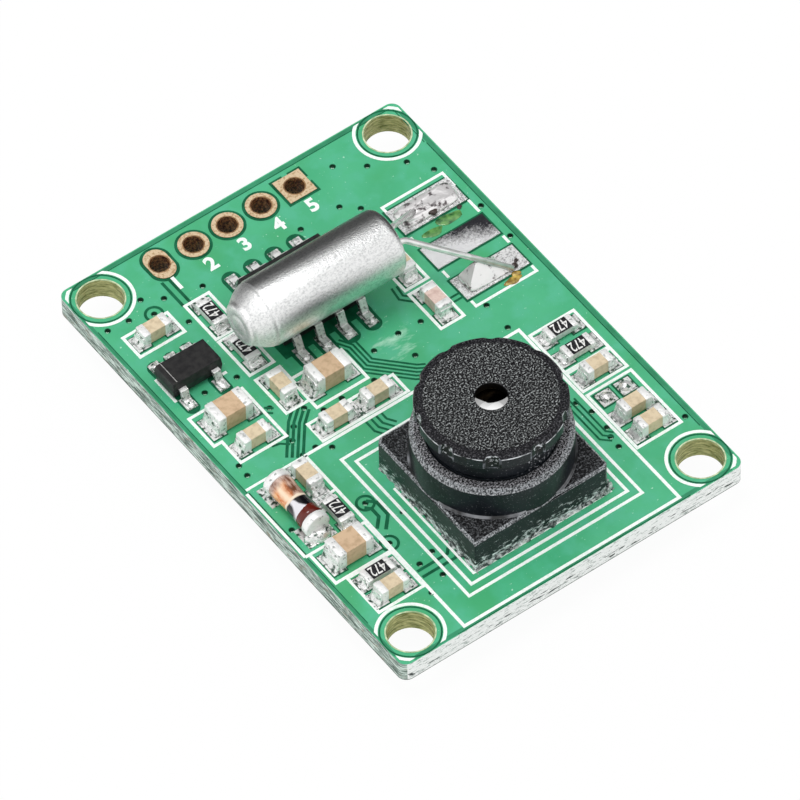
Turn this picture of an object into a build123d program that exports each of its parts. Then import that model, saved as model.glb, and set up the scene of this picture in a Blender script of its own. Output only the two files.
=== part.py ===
from build123d import *
import math
import os

os.makedirs("parts", exist_ok=True)

# Board: length runs along Y, the top face carries the lens, z = 0 is its underside
board_width = 20.0
board_length = 28.0
board_thickness = 1.2
board_corner_r = 0.5
mount_hole_r = 1.15
mount_hole_inset = 1.5
via_r = 0.14
via_sides = 8
land_thickness = 0.05

left_edge = -board_width / 2
right_edge = board_width / 2
board_top = board_thickness
land_top = board_top + land_thickness

# Row of plated holes for the cable header, along the top edge
header_count = 5
header_pitch = 2.0
header_middle_x = -1.02
header_inset = 1.47
header_drill_r = 0.55
header_plating = 0.05
header_pad_r = 0.78
header_end_pad_length = 1.9
header_end_pad_width = 1.25
header_y = board_length / 2 - header_inset

# Two-terminal chip parts: length, width, height, length of each end cap
small_chip = (1.6, 0.8, 0.8, 0.35)
large_chip = (2.0, 1.25, 1.1, 0.45)
resistor_chip = (1.6, 0.8, 0.45, 0.3)
end_cap_plating = 0.03
glaze_thickness = 0.03
land_past_chip = 0.4
land_under_chip = 0.35
land_side_margin = 0.08
solder_rise = 0.75
solder_edge = 0.08
solder_hollow = 0.34

# Moulded packages
mould_draft = 7
lead_shoulder_share = 0.45

# Memory chip in an eight-lead package
memory_x = -0.9
memory_y = 6.6
memory_length = 4.9
memory_width = 3.9
memory_height = 1.45
memory_standoff = 0.1
memory_lead_reach = 1.05
memory_pitch = 1.27
memory_pins_per_side = 4
memory_lead_width = 0.42
memory_lead_thickness = 0.2
memory_foot = 0.5
memory_land_margin = 0.3

# Voltage regulator in a five-lead package
regulator_x = left_edge + 2.1
regulator_y = 6.1
regulator_length = 2.9
regulator_width = 1.6
regulator_height = 1.0
regulator_standoff = 0.1
regulator_lead_reach = 0.65
regulator_pitch = 0.95
regulator_lead_width = 0.42
regulator_lead_thickness = 0.15
regulator_foot = 0.3
regulator_land_margin = 0.25

# Crystal: a drawn metal can lying along X on top of the memory chip
can_r = 1.75
can_length = 8.74
can_nose_length = 1.25
can_nose_r = 1.15
can_nose_mid_length = 0.45
can_nose_mid_height = 0.68
can_shoulder = 0.29
can_shoulder_r = 1.55
can_wall = 0.2
can_left_x = -5.7
can_y = 4.93
can_seat_gap = 0.02
seal_depth = 0.6
lead_r = 0.155
lead_spacing = 1.0
lead_straight = 0.6
lead_bend_r = 0.45
can_right_x = can_left_x + can_length
can_z = land_top + memory_standoff + memory_height + can_seat_gap + can_r

# Three long tinned pads beside the crystal
crystal_pad_length = 3.7
crystal_pad_x = right_edge - 2.7
crystal_pad_rows = {"upper": (7.7, 1.7), "middle": (4.95, 1.5), "lower": (2.58, 1.45)}
upper_lead_end = (right_edge - 3.5, 7.7)
lower_lead_end = (right_edge - 1.75, 2.0)
upper_solder_height = 0.32
lower_solder_length = 2.6
lower_solder_climb = 0.72
solder_inset = 0.1
solder_taper = 38

# Glass diode lying along Y near the left edge
diode_x = left_edge + 1.4
diode_y = -3.6
diode_length = 3.5
diode_cap_r = 0.7
diode_cap_length = 0.45
diode_glass_r = 0.66
diode_slug_r = 0.42
diode_die_r = 0.36
diode_die_thickness = 0.2
diode_seal_gap = 0.01
diode_land_width = 1.6
diode_land_length = 1.3

# Lens holder: a moulded square foot with a round boss that carries the lens thread
lens_x = 0.0
lens_y = -7.5
holder_side = 7.9
holder_foot_height = 2.0
holder_corner_cut = 0.25
holder_edge_cut = 0.12
boss_r = 3.92
boss_height = 3.9
boss_edge_cut = 0.22
thread_bore_r = 3.25
thread_depth = 2.2
sensor_room_side = 6.3
sensor_room_height = 1.2
light_window_r = 2.3

# Lens barrel: a screw with a notched head, heights above the board's top face
barrel_clearance = 0.05
barrel_head_r = 3.68
barrel_head_bottom = 5.35
barrel_top = 6.2
barrel_rim_width = 0.38
barrel_rim_drop = 0.18
barrel_rim_round = 0.13
barrel_rim_dip = 0.04
barrel_end = 2.4
barrel_notches = 10
barrel_notch_r = 0.5
barrel_notch_depth = 0.2
barrel_bore_r = 2.4
barrel_front_wall = 0.9
front_hole_r = 0.8
front_hole_depth = 0.45
barrel_thread_r = thread_bore_r - barrel_clearance

# Glass stack inside the barrel, from the front down
element_clearance = 0.02
element_rim = 0.45
element_rim_width = 0.5
dome_margin = 0.06
front_bulge = 0.3
rear_bulge = 0.22
spacer_height = 0.55
retainer_height = 0.4

element_r = barrel_bore_r - element_clearance
element_dome_r = element_r - element_rim_width
ring_bore_r = element_dome_r + dome_margin

# Infrared filter on the holder's ledge, image sensor on the board under it
filter_r = 2.9
filter_thickness = 0.3
filter_glue_gap = 0.01
sensor_length = 5.7
sensor_width = 5.1
sensor_height = 0.5
sensor_glass_height = 0.4
sensor_glass_inset = 0.1

# Signal processor in a 48-lead package on the underside, centred under the part's weight
processor_x = 0.0
processor_y = -0.8
processor_side = 7.0
processor_height = 1.4
processor_standoff = 0.1
processor_lead_reach = 1.0
processor_pitch = 0.5
processor_pins_per_side = 12
processor_lead_width = 0.22
processor_lead_thickness = 0.14
processor_foot = 0.6

# Places of the chip parts: x, y and turn about Z, x of the side columns from their edge
capacitor_places = {
    "capacitor_1": (left_edge + 2.25, 9.15, 0, small_chip),
    "capacitor_2": (left_edge + 2.17, 2.9, 0, large_chip),
    "capacitor_3": (left_edge + 2.3, 1.05, 0, small_chip),
    "capacitor_4": (-4.9, 2.75, 90, small_chip),
    "capacitor_5": (-2.7, 2.0, 0, large_chip),
    "capacitor_6": (-3.9, -0.33, 0, small_chip),
    "capacitor_7": (-1.5, -0.33, 0, small_chip),
    "capacitor_8": (4.05, 5.4, 90, small_chip),
    "capacitor_9": (4.05, 2.5, 90, small_chip),
    "capacitor_10": (left_edge + 2.9, -2.4, 90, small_chip),
    "capacitor_11": (left_edge + 1.95, -7.05, 0, large_chip),
    "capacitor_12": (left_edge + 2.2, -10.05, 0, small_chip),
    "capacitor_13": (right_edge - 2.25, -5.35, 0, small_chip),
    "capacitor_14": (right_edge - 2.22, -8.25, 0, small_chip),
    "capacitor_15": (right_edge - 2.2, -9.55, 0, small_chip),
}
resistor_places = {
    "resistor_1": (-4.9, 8.4, 90),
    "resistor_2": (-4.9, 5.7, 90),
    "resistor_3": (left_edge + 2.9, -4.85, 90),
    "resistor_4": (left_edge + 2.25, -8.9, 0),
    "resistor_5": (right_edge - 2.22, -2.4, 0),
    "resistor_6": (right_edge - 2.22, -3.8, 0),
}
under_capacitor_places = {
    "under_capacitor_1": (-6.6, 2.2, 90),
    "under_capacitor_2": (-6.6, -3.4, 90),
    "under_capacitor_3": (6.6, 2.2, 90),
    "under_capacitor_4": (6.6, -3.4, 90),
    "under_capacitor_5": (-2.0, 5.6, 0),
    "under_capacitor_6": (2.0, 5.6, 0),
}
empty_land_places = [(right_edge - 2.85, -6.9), (right_edge - 1.7, -6.9)]
empty_land_side = 0.85
empty_dome_height = 0.22

# Drilled vias, x and y from the board's centre
via_places = [
    (-9.37, 10.7), (-8.2, 10.6), (-7.02, 11.3), (-6.07, 10.7), (-7.0, 10.2),
    (-5.95, 8.82), (-4.15, 10.2), (-7.87, 4.85), (-6.1, 4.7), (5.17, 12.43),
    (6.52, 11.45), (8.2, 10.5), (3.95, 10.2), (1.65, 10.2), (4.72, 9.5),
    (8.97, 9.33), (9.43, 6.15), (9.43, 3.8), (5.98, 1.05), (0.05, 2.05),
    (1.6, 2.22), (2.88, 2.15), (1.45, 0.65), (5.97, -0.65), (-9.15, 0.3),
    (-9.17, -0.4), (-6.25, 0.0), (-5.7, 0.65), (-5.95, 2.25), (-4.65, 1.25),
    (-6.35, -1.0), (-5.6, -0.98), (-4.97, -1.45), (-3.97, 0.6), (-2.87, 0.65),
    (-1.0, 0.6), (-9.4, -4.3), (-5.7, -5.1), (-4.6, -6.6), (-6.2, -7.7),
    (-5.8, -9.55), (-4.9, -9.3), (-5.3, -10.7), (-6.35, -11.25), (5.8, -6.3),
    (6.1, -7.15), (6.1, -8.35), (5.9, -8.9), (5.85, -9.6), (9.45, -10.05),
]


def save(node, *solids):
    shape = solids[0] if len(solids) == 1 else Compound(list(solids))
    export_step(shape, os.path.join("parts", node + ".step"))


def block(length, width, height, x=0.0, y=0.0, z=0.0):
    """A box whose middle of the bottom face is at x, y, z."""
    return Pos(x, y, z) * Box(length, width, height, align=(Align.CENTER, Align.CENTER, Align.MIN))


def post(radius, height, x=0.0, y=0.0, z=0.0):
    """A cylinder whose bottom centre is at x, y, z."""
    return Pos(x, y, z) * Cylinder(radius, height, align=(Align.CENTER, Align.CENTER, Align.MIN))


def turned(points, x, y):
    """A solid of revolution about the vertical through x, y from (radius, height) points."""
    outline = make_face(Plane.XZ * Polyline(*points, close=True))
    return Pos(x, y, 0) * revolve(outline, Axis.Z)


def dome_arc(radius, rim, bulge):
    """Half the section of a dome, from its pole at radius 0 out to its rim."""
    ball = (radius**2 + bulge**2) / (2 * abs(bulge))
    drop = ball - math.sqrt(ball**2 - (radius / 2) ** 2)
    half_way = (radius / 2, rim + bulge - math.copysign(drop, bulge))
    return ThreePointArc((0, rim + bulge), half_way, (radius, rim))


# Board blank with its corner holes, header drills and vias
blank = extrude(RectangleRounded(board_width, board_length, board_corner_r), board_thickness)
mount_hole_x = board_width / 2 - mount_hole_inset
mount_hole_y = board_length / 2 - mount_hole_inset
header_xs = [
    header_middle_x + (i - (header_count - 1) / 2) * header_pitch for i in range(header_count)
]
drills = [
    post(mount_hole_r, board_thickness, sx * mount_hole_x, sy * mount_hole_y)
    for sx in (-1, 1)
    for sy in (-1, 1)
]
drills += [post(header_drill_r, board_thickness, x, header_y) for x in header_xs]
via_drill = extrude(RegularPolygon(via_r, via_sides), board_thickness)
drills += [Pos(x, y, 0) * via_drill for x, y in via_places]
save("pcb", blank - drills)


# Header pads: a plated barrel with a flange on each face, oblong first and square last
def header_pad(index):
    if index == 0:
        shape = SlotOverall(header_end_pad_length, header_end_pad_width, rotation=90)
    elif index == header_count - 1:
        shape = Rectangle(2 * header_pad_r, 2 * header_pad_r)
    else:
        shape = Circle(header_pad_r)
    flange = extrude(shape, land_thickness)
    tube = post(header_drill_r, board_thickness)
    whole = flange.moved(Location((0, 0, board_top))) + tube + flange.moved(Location((0, 0, -land_thickness)))
    hole = post(
        header_drill_r - header_plating, board_thickness + 2 * land_thickness, z=-land_thickness
    )
    return Pos(header_xs[index], header_y, 0) * (whole - hole)


save("header_pads", *[header_pad(i) for i in range(header_count)])


# Chip parts: a ceramic core, two plated end caps, two lands and two solder joints
def chip_core(size):
    length, width, height, cap = size
    return block(
        length - 2 * end_cap_plating,
        width - 2 * end_cap_plating,
        height - 2 * end_cap_plating,
        z=end_cap_plating,
    )


def chip_end_caps(size):
    length, width, height, cap = size
    left = block(cap, width, height, x=(cap - length) / 2) - chip_core(size)
    right = left.rotate(Axis.Z, 180)
    return [left, right]


def chip_lands(size):
    length, width, height, cap = size
    inner = length / 2 - land_under_chip
    outer = length / 2 + land_past_chip
    pad = block(outer - inner, width + 2 * land_side_margin, land_thickness, x=-(inner + outer) / 2)
    return [pad, pad.rotate(Axis.Z, 180)]


def chip_solder(size):
    length, width, height, cap = size
    reach = land_past_chip - solder_edge
    rise = solder_rise * height
    start = (length / 2, 0)
    toe = (length / 2 + reach, 0)
    top = (length / 2, rise)
    hollow = (length / 2 + reach * solder_hollow, rise * solder_hollow)
    outline = Plane.XZ * make_face(Polyline(start, toe, hollow, top, close=True))
    wedge = extrude(outline, width / 2, both=True)
    return [wedge, wedge.rotate(Axis.Z, 180)]


def seated(solids, x, y, turn, under=False):
    """Solids drawn on z = 0 set on the lands of the top face, or of the underside."""
    if under:
        home = Pos(x, y, -land_thickness) * Rot(180, 0, turn)
    else:
        home = Pos(x, y, land_top) * Rot(0, 0, turn)
    return [home * solid for solid in solids]


lands = []
solder = []
capacitor_caps = []
for node, (x, y, turn, size) in capacitor_places.items():
    save(node, *seated([chip_core(size)], x, y, turn))
    capacitor_caps += seated(chip_end_caps(size), x, y, turn)
    lands += [pad.moved(Location((0, 0, -land_thickness))) for pad in seated(chip_lands(size), x, y, turn)]
    solder += seated(chip_solder(size), x, y, turn)

for node, (x, y, turn) in under_capacitor_places.items():
    save(node, *seated([chip_core(small_chip)], x, y, turn, under=True))
    capacitor_caps += seated(chip_end_caps(small_chip), x, y, turn, under=True)
    lands += [
        pad.moved(Location((0, 0, land_thickness)))
        for pad in seated(chip_lands(small_chip), x, y, turn, under=True)
    ]
    solder += seated(chip_solder(small_chip), x, y, turn, under=True)
save("capacitor_end_caps", *capacitor_caps)

resistor_caps = []
glazes = []
for node, (x, y, turn) in resistor_places.items():
    length, width, height, cap = resistor_chip
    glaze = block(
        length - 2 * cap,
        width - 2 * end_cap_plating,
        glaze_thickness,
        z=height - end_cap_plating,
    )
    save(node, *seated([chip_core(resistor_chip)], x, y, turn))
    glazes += seated([glaze], x, y, turn)
    resistor_caps += seated(chip_end_caps(resistor_chip), x, y, turn)
    lands += [
        pad.moved(Location((0, 0, -land_thickness)))
        for pad in seated(chip_lands(resistor_chip), x, y, turn)
    ]
    solder += seated(chip_solder(resistor_chip), x, y, turn)
save("resistor_end_caps", *resistor_caps)
save("resistor_glazes", *glazes)

# Unused footprint in the right column: two small lands with solder domes
empty_dome_r = empty_land_side / 2 - solder_edge
dome_outline = make_face(
    [
        dome_arc(empty_dome_r, 0, empty_dome_height),
        Line((empty_dome_r, 0), (0, 0)),
        Line((0, 0), (0, empty_dome_height)),
    ]
)
solder_dome = revolve(Plane.XZ * dome_outline, Axis.Z)
for x, y in empty_land_places:
    lands.append(block(empty_land_side, empty_land_side, land_thickness, x, y, board_top))
    solder.append(Pos(x, y, land_top) * solder_dome)


# Gull-wing leads: drawn in the XZ plane from the body's side wall out to the toe
def gull_wing(body_half, reach, exit_height, thickness, width, foot):
    toe_half = body_half + reach
    knee = toe_half - foot
    shoulder = body_half + (knee - body_half) * lead_shoulder_share
    points = [
        (body_half, exit_height + thickness / 2),
        (shoulder + thickness / 2, exit_height + thickness / 2),
        (knee + thickness / 2, thickness),
        (toe_half, thickness),
        (toe_half, 0),
        (knee - thickness / 2, 0),
        (shoulder - thickness / 2, exit_height - thickness / 2),
        (body_half, exit_height - thickness / 2),
    ]
    outline = make_face(Polyline(*points, close=True))
    return extrude(Plane.XZ * outline, width / 2, both=True)


def lead_row(lead, offsets, side_turn):
    """Copies of a lead along one side of a package, the side turned about Z."""
    return [Rot(0, 0, side_turn) * Pos(0, offset, 0) * lead for offset in offsets]


def spread(count, pitch):
    return [(i - (count - 1) / 2) * pitch for i in range(count)]


def package_body(length, width, height, draft, base):
    """A moulded block whose side walls lean in from the parting line at mid-height."""
    half = height / 2
    upper = extrude(Plane.XY.offset(base + half) * Rectangle(length, width), half, taper=draft)
    lower = extrude(Plane.XY.offset(base + half) * Rectangle(length, width), -half, taper=draft)
    return upper + lower


# Memory chip
memory_home = Pos(memory_x, memory_y, land_top)
memory_body = package_body(memory_length, memory_width, memory_height, mould_draft, memory_standoff)
memory_lead = gull_wing(
    memory_width / 2,
    memory_lead_reach,
    memory_standoff + memory_height / 2,
    memory_lead_thickness,
    memory_lead_width,
    memory_foot,
)
memory_rows = spread(memory_pins_per_side, memory_pitch)
memory_leads = lead_row(memory_lead, memory_rows, 90) + lead_row(memory_lead, memory_rows, -90)
save("memory_chip_body", memory_home * memory_body)
save("memory_chip_leads", *[memory_home * lead for lead in memory_leads])
memory_land_length = memory_foot + 2 * memory_land_margin
for offset in memory_rows:
    for side in (-1, 1):
        lands.append(
            block(
                memory_lead_width + 2 * land_side_margin,
                memory_land_length,
                land_thickness,
                memory_x + offset,
                memory_y + side * (memory_width / 2 + memory_lead_reach - memory_foot / 2),
                board_top,
            )
        )

# Voltage regulator: three leads at the back, two at the front
regulator_home = Pos(regulator_x, regulator_y, land_top)
regulator_body = package_body(
    regulator_length, regulator_width, regulator_height, mould_draft, regulator_standoff
)
regulator_lead = gull_wing(
    regulator_width / 2,
    regulator_lead_reach,
    regulator_standoff + regulator_height / 2,
    regulator_lead_thickness,
    regulator_lead_width,
    regulator_foot,
)
back_row = [-regulator_pitch, 0, regulator_pitch]
front_row = [-regulator_pitch, regulator_pitch]
regulator_leads = lead_row(regulator_lead, back_row, 90) + lead_row(regulator_lead, front_row, -90)
save("regulator_body", regulator_home * regulator_body)
save("regulator_leads", *[regulator_home * lead for lead in regulator_leads])
regulator_land_length = regulator_foot + 2 * regulator_land_margin
for side, row in ((1, back_row), (-1, front_row)):
    for offset in row:
        lands.append(
            block(
                regulator_lead_width + 2 * land_side_margin,
                regulator_land_length,
                land_thickness,
                regulator_x + offset,
                regulator_y + side * (regulator_width / 2 + regulator_lead_reach - regulator_foot / 2),
                board_top,
            )
        )

# Crystal can: turned about its own axis, which lies along X
straight_left_x = can_left_x + can_nose_length
straight_right_x = can_right_x - can_shoulder
nose_start = (can_left_x, can_nose_r)
nose_end = (straight_left_x, can_r)
nose_round = (
    can_left_x + can_nose_length * can_nose_mid_length,
    can_nose_r + (can_r - can_nose_r) * can_nose_mid_height,
)
seal_r = can_shoulder_r - can_wall
can_outline = make_face(
    [
        Line((can_left_x, 0), nose_start),
        ThreePointArc(nose_start, nose_round, nose_end),
        Line(nose_end, (straight_right_x, can_r)),
        Line((straight_right_x, can_r), (can_right_x, can_shoulder_r)),
        Line((can_right_x, can_shoulder_r), (can_right_x, seal_r)),
        Line((can_right_x, seal_r), (can_right_x - seal_depth, seal_r)),
        Line((can_right_x - seal_depth, seal_r), (can_right_x - seal_depth, 0)),
        Line((can_right_x - seal_depth, 0), (can_left_x, 0)),
    ]
)
can_axis = Pos(0, can_y, can_z)
save("crystal_can", can_axis * revolve(can_outline, Axis.X))


def lead_route(side, end):
    start_y = can_y + side * lead_spacing / 2
    end_z = land_top + lead_r
    return FilletPolyline(
        (can_right_x - seal_depth, start_y, can_z),
        (can_right_x + lead_straight, start_y, can_z),
        (end[0], end[1], end_z),
        radius=lead_bend_r,
    )


def crystal_lead(route):
    section = Plane(origin=route @ 0, z_dir=route % 0) * Circle(lead_r)
    return sweep(section, path=route)


upper_lead = crystal_lead(lead_route(1, upper_lead_end))
lower_route = lead_route(-1, lower_lead_end)
lower_lead = crystal_lead(lower_route)
save("crystal_lead_1", upper_lead)
save("crystal_lead_2", lower_lead)
glass_seal = Pos(can_right_x - seal_depth, can_y, can_z) * Rot(0, 90, 0) * post(seal_r, seal_depth)
for side in (-1, 1):
    lead_hole = Pos(can_right_x - seal_depth, can_y + side * lead_spacing / 2, can_z)
    glass_seal -= lead_hole * Rot(0, 90, 0) * post(lead_r, seal_depth)
save("crystal_seal", glass_seal)

# Crystal pads, and the solder over the two that hold a lead
crystal_pads = [
    block(crystal_pad_length, width, land_thickness, crystal_pad_x, y, board_top)
    for y, width in crystal_pad_rows.values()
]
save("crystal_pads", *crystal_pads)


# Over the upper pad the solder is a low mound, on the lower one it climbs the lead to a point
upper_y, upper_width = crystal_pad_rows["upper"]
upper_foot = Rectangle(crystal_pad_length - 2 * solder_inset, upper_width - 2 * solder_inset)
upper_mound = extrude(upper_foot, upper_solder_height, taper=solder_taper)
upper_mound = Pos(crystal_pad_x, upper_y, land_top) * upper_mound - upper_lead
lower_y, lower_width = crystal_pad_rows["lower"]
lower_foot_x = crystal_pad_x - crystal_pad_length / 2 + solder_inset + lower_solder_length / 2
lower_foot = Rectangle(lower_solder_length, lower_width - 2 * solder_inset)
lower_peak = Vertex(*(lower_route @ lower_solder_climb))
lower_mound = loft([Pos(lower_foot_x, lower_y, land_top) * lower_foot, lower_peak]) - lower_lead
save("crystal_solder", upper_mound, lower_mound)

# Glass diode: a glass sleeve, two headed slugs and the die between them
diode_home = Pos(diode_x, diode_y, land_top + diode_cap_r) * Rot(90, 0, 0)
glass_half = diode_length / 2 - diode_cap_length
sleeve = post(diode_glass_r, 2 * glass_half, z=-glass_half)
sleeve -= post(diode_slug_r + diode_seal_gap, 2 * glass_half, z=-glass_half)
slug_start = diode_die_thickness / 2 + diode_seal_gap
slug = post(diode_cap_r, diode_cap_length, z=glass_half + diode_seal_gap)
slug += post(diode_slug_r, glass_half + diode_seal_gap - slug_start, z=slug_start)
die = post(diode_die_r, diode_die_thickness, z=-diode_die_thickness / 2)
save("diode_glass", diode_home * sleeve)
save("diode_end_caps", diode_home * slug, diode_home * Rot(180, 0, 0) * slug)
save("diode_die", diode_home * die)
for side in (-1, 1):
    lands.append(
        block(
            diode_land_width,
            diode_land_length,
            land_thickness,
            diode_x,
            diode_y + side * (diode_length / 2 - diode_land_length / 2 + land_past_chip),
            board_top,
        )
    )
save("component_lands", *lands)
save("solder_joints", *solder)

# Lens holder
foot = extrude(Rectangle(holder_side, holder_side), holder_foot_height)
upright = foot.edges().filter_by(Axis.Z)
cut_corners = [
    edge
    for edge in upright
    if edge.center().X * edge.center().Y < 0
]
foot = chamfer(cut_corners, holder_corner_cut)
foot = chamfer(foot.faces().sort_by(Axis.Z)[-1].edges(), holder_edge_cut)
boss = post(boss_r, boss_height)
boss = chamfer(boss.faces().sort_by(Axis.Z)[-1].edges(), boss_edge_cut)
holder = foot + boss
holder -= post(thread_bore_r, thread_depth, z=boss_height - thread_depth)
holder -= post(light_window_r, boss_height)
holder -= block(sensor_room_side, sensor_room_side, sensor_room_height)
save("lens_holder", Pos(lens_x, lens_y, board_top) * holder)

# Lens barrel
seat_height = barrel_top - barrel_front_wall
neck_outline = [
    (barrel_bore_r, barrel_end),
    (barrel_thread_r, barrel_end),
    (barrel_thread_r, barrel_head_bottom),
    (barrel_head_r, barrel_head_bottom),
    (barrel_head_r, barrel_top - barrel_rim_drop),
    (barrel_head_r - barrel_rim_round, barrel_top - barrel_rim_dip),
    (barrel_head_r - barrel_rim_width, barrel_top),
    (front_hole_r, barrel_top),
    (front_hole_r, barrel_top - front_hole_depth),
    (ring_bore_r, seat_height),
    (barrel_bore_r, seat_height),
]
barrel = turned(neck_outline, 0, 0)
notch_centre_r = barrel_head_r - barrel_notch_depth + barrel_notch_r
head_height = barrel_top - barrel_head_bottom
notch = post(barrel_notch_r, head_height, z=barrel_head_bottom)
for i in range(barrel_notches):
    turn = math.pi / 2 + i * 2 * math.pi / barrel_notches
    barrel -= Pos(notch_centre_r * math.cos(turn), notch_centre_r * math.sin(turn), 0) * notch
lens_home = Pos(lens_x, lens_y, board_top)
save("lens_barrel", lens_home * barrel)


# Glass elements: flat on one side, domed inside a flat rim on the other
def element(bulge):
    outline = make_face(
        [
            dome_arc(element_dome_r, element_rim, bulge),
            Line((element_dome_r, element_rim), (element_r, element_rim)),
            Line((element_r, element_rim), (element_r, 0)),
            Line((element_r, 0), (0, 0)),
            Line((0, 0), (0, element_rim + bulge)),
        ]
    )
    return revolve(Plane.XZ * outline, Axis.Z)


front_rim_top = seat_height - element_clearance
spacer_top = front_rim_top - element_rim - element_clearance
rear_rim_top = spacer_top - spacer_height - element_clearance
retainer_top = rear_rim_top - element_rim - element_clearance
front_lens = Pos(0, 0, front_rim_top - element_rim) * element(front_bulge)
rear_lens = Pos(0, 0, rear_rim_top) * Rot(180, 0, 0) * element(rear_bulge)
save("front_lens", lens_home * front_lens)
save("rear_lens", lens_home * rear_lens)
spacer = post(element_r, spacer_height) - post(ring_bore_r, spacer_height)
retainer = post(element_r, retainer_height) - post(ring_bore_r, retainer_height)
save("lens_spacer", lens_home * Pos(0, 0, spacer_top - spacer_height) * spacer)
save("lens_retaining_ring", lens_home * Pos(0, 0, retainer_top - retainer_height) * retainer)

# Infrared filter and image sensor
ledge_top = boss_height - thread_depth
save("infrared_filter", lens_home * post(filter_r, filter_thickness, z=ledge_top + filter_glue_gap))
sensor_base = land_thickness
save("image_sensor", lens_home * block(sensor_length, sensor_width, sensor_height, z=sensor_base))
sensor_glass = block(
    sensor_length - 2 * sensor_glass_inset,
    sensor_width - 2 * sensor_glass_inset,
    sensor_glass_height,
    z=sensor_base + sensor_height,
)
save("sensor_cover_glass", lens_home * sensor_glass)

# Signal processor on the underside
processor_home = Pos(processor_x, processor_y, -land_thickness) * Rot(180, 0, 0)
processor_body = package_body(
    processor_side, processor_side, processor_height, mould_draft, processor_standoff
)
processor_lead = gull_wing(
    processor_side / 2,
    processor_lead_reach,
    processor_standoff + processor_height / 2,
    processor_lead_thickness,
    processor_lead_width,
    processor_foot,
)
processor_rows = spread(processor_pins_per_side, processor_pitch)
processor_leads = [
    lead for turn in (0, 90, 180, 270) for lead in lead_row(processor_lead, processor_rows, turn)
]
save("processor_body", processor_home * processor_body)
save("processor_leads", *[processor_home * lead for lead in processor_leads])
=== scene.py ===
import math

import bmesh
import bpy
from mathutils import Matrix, Vector


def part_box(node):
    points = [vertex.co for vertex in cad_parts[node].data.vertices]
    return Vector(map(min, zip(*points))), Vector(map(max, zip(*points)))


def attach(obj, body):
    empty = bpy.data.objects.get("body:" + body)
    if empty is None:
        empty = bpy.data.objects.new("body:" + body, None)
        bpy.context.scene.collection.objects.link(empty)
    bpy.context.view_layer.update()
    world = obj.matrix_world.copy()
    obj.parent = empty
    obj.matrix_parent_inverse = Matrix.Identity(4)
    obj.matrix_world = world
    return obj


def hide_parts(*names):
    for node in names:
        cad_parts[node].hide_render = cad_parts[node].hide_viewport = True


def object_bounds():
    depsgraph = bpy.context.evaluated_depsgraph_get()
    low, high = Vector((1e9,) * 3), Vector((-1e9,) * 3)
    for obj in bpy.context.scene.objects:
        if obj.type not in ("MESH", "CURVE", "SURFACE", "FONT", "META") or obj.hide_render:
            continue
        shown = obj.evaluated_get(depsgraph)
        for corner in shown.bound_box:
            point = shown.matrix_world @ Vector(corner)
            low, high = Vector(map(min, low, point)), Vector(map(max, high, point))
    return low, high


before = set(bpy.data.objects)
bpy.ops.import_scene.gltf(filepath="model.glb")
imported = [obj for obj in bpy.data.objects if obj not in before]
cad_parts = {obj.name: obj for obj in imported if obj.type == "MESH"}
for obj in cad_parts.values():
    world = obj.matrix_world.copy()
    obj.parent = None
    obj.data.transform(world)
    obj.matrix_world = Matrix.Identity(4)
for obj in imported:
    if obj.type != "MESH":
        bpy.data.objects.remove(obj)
cad_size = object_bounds()
scene = bpy.context.scene
mm = 0.001

# Camera: far off with a long lens, over the corner where the diode sits.
# Its place and turn were solved from the board's outline in the photograph.
camera_place = Vector((-185.645, -265.051, 409.401)) * mm
looking = Vector((0.35554547, 0.50751924, -0.78486409))
picture_right = Vector((0.80564272, -0.59213023, -0.01793287))
picture_down = Vector((-0.47384303, -0.62594409, -0.61940841))
camera_data = bpy.data.cameras.new("camera")
camera_data.lens = 493.3
camera_data.sensor_width = 36
camera_data.clip_start = 10 * mm
camera_data.clip_end = 5
camera = bpy.data.objects.new("camera", camera_data)
scene.collection.objects.link(camera)
turn = Matrix((picture_right, -picture_down, -looking)).transposed().to_4x4()
camera.matrix_world = Matrix.Translation(camera_place) @ turn
scene.camera = camera
scene.view_settings.view_transform = "Standard"


# Room: a white studio, which the metal and the glass reflect, with a dark wall
# behind the part to give shape to bright metal, and a softer dome of light.
def node(material, kind, inputs=None, **settings):
    """A node of a material or a world, with its inputs set to values or linked."""
    made = material.node_tree.nodes.new(kind)
    for name, value in settings.items():
        setattr(made, name, value)
    for key, value in (inputs or {}).items():
        if isinstance(value, Field):
            value = value.socket
        if isinstance(value, bpy.types.NodeSocket):
            material.node_tree.links.new(value, made.inputs[key])
        else:
            made.inputs[key].default_value = value
    return made


class Field:
    """A number that varies over a material or a world, on which plain arithmetic works."""

    def __init__(self, material, socket):
        self.material = material
        self.socket = socket

    def maths(self, operation, *others):
        inputs = dict(enumerate((self, *others)))
        made = node(self.material, "ShaderNodeMath", inputs, operation=operation)
        return Field(self.material, made.outputs[0])

    def __add__(self, other):
        return self.maths("ADD", other)

    def __sub__(self, other):
        return self.maths("SUBTRACT", other)

    def __rsub__(self, other):
        return self.maths("MULTIPLY", -1.0).maths("ADD", other)

    def __mul__(self, other):
        return self.maths("MULTIPLY", other)

    def __or__(self, other):
        return self.maths("MAXIMUM", other)

    def __lt__(self, other):
        return self.maths("LESS_THAN", other)

    def __gt__(self, other):
        return self.maths("GREATER_THAN", other)

    def __abs__(self):
        return self.maths("ABSOLUTE")


def rays(material, kind):
    return Field(material, node(material, "ShaderNodeLightPath").outputs[f"Is {kind} Ray"])


def split(material, vector):
    """The three parts of a vector."""
    made = node(material, "ShaderNodeSeparateXYZ", {0: vector})
    return [Field(material, part) for part in made.outputs]


def backward_of(x, y):
    """How far a place lies from the camera's side to the back."""
    return x * 0.574 + y * 0.819


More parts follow.
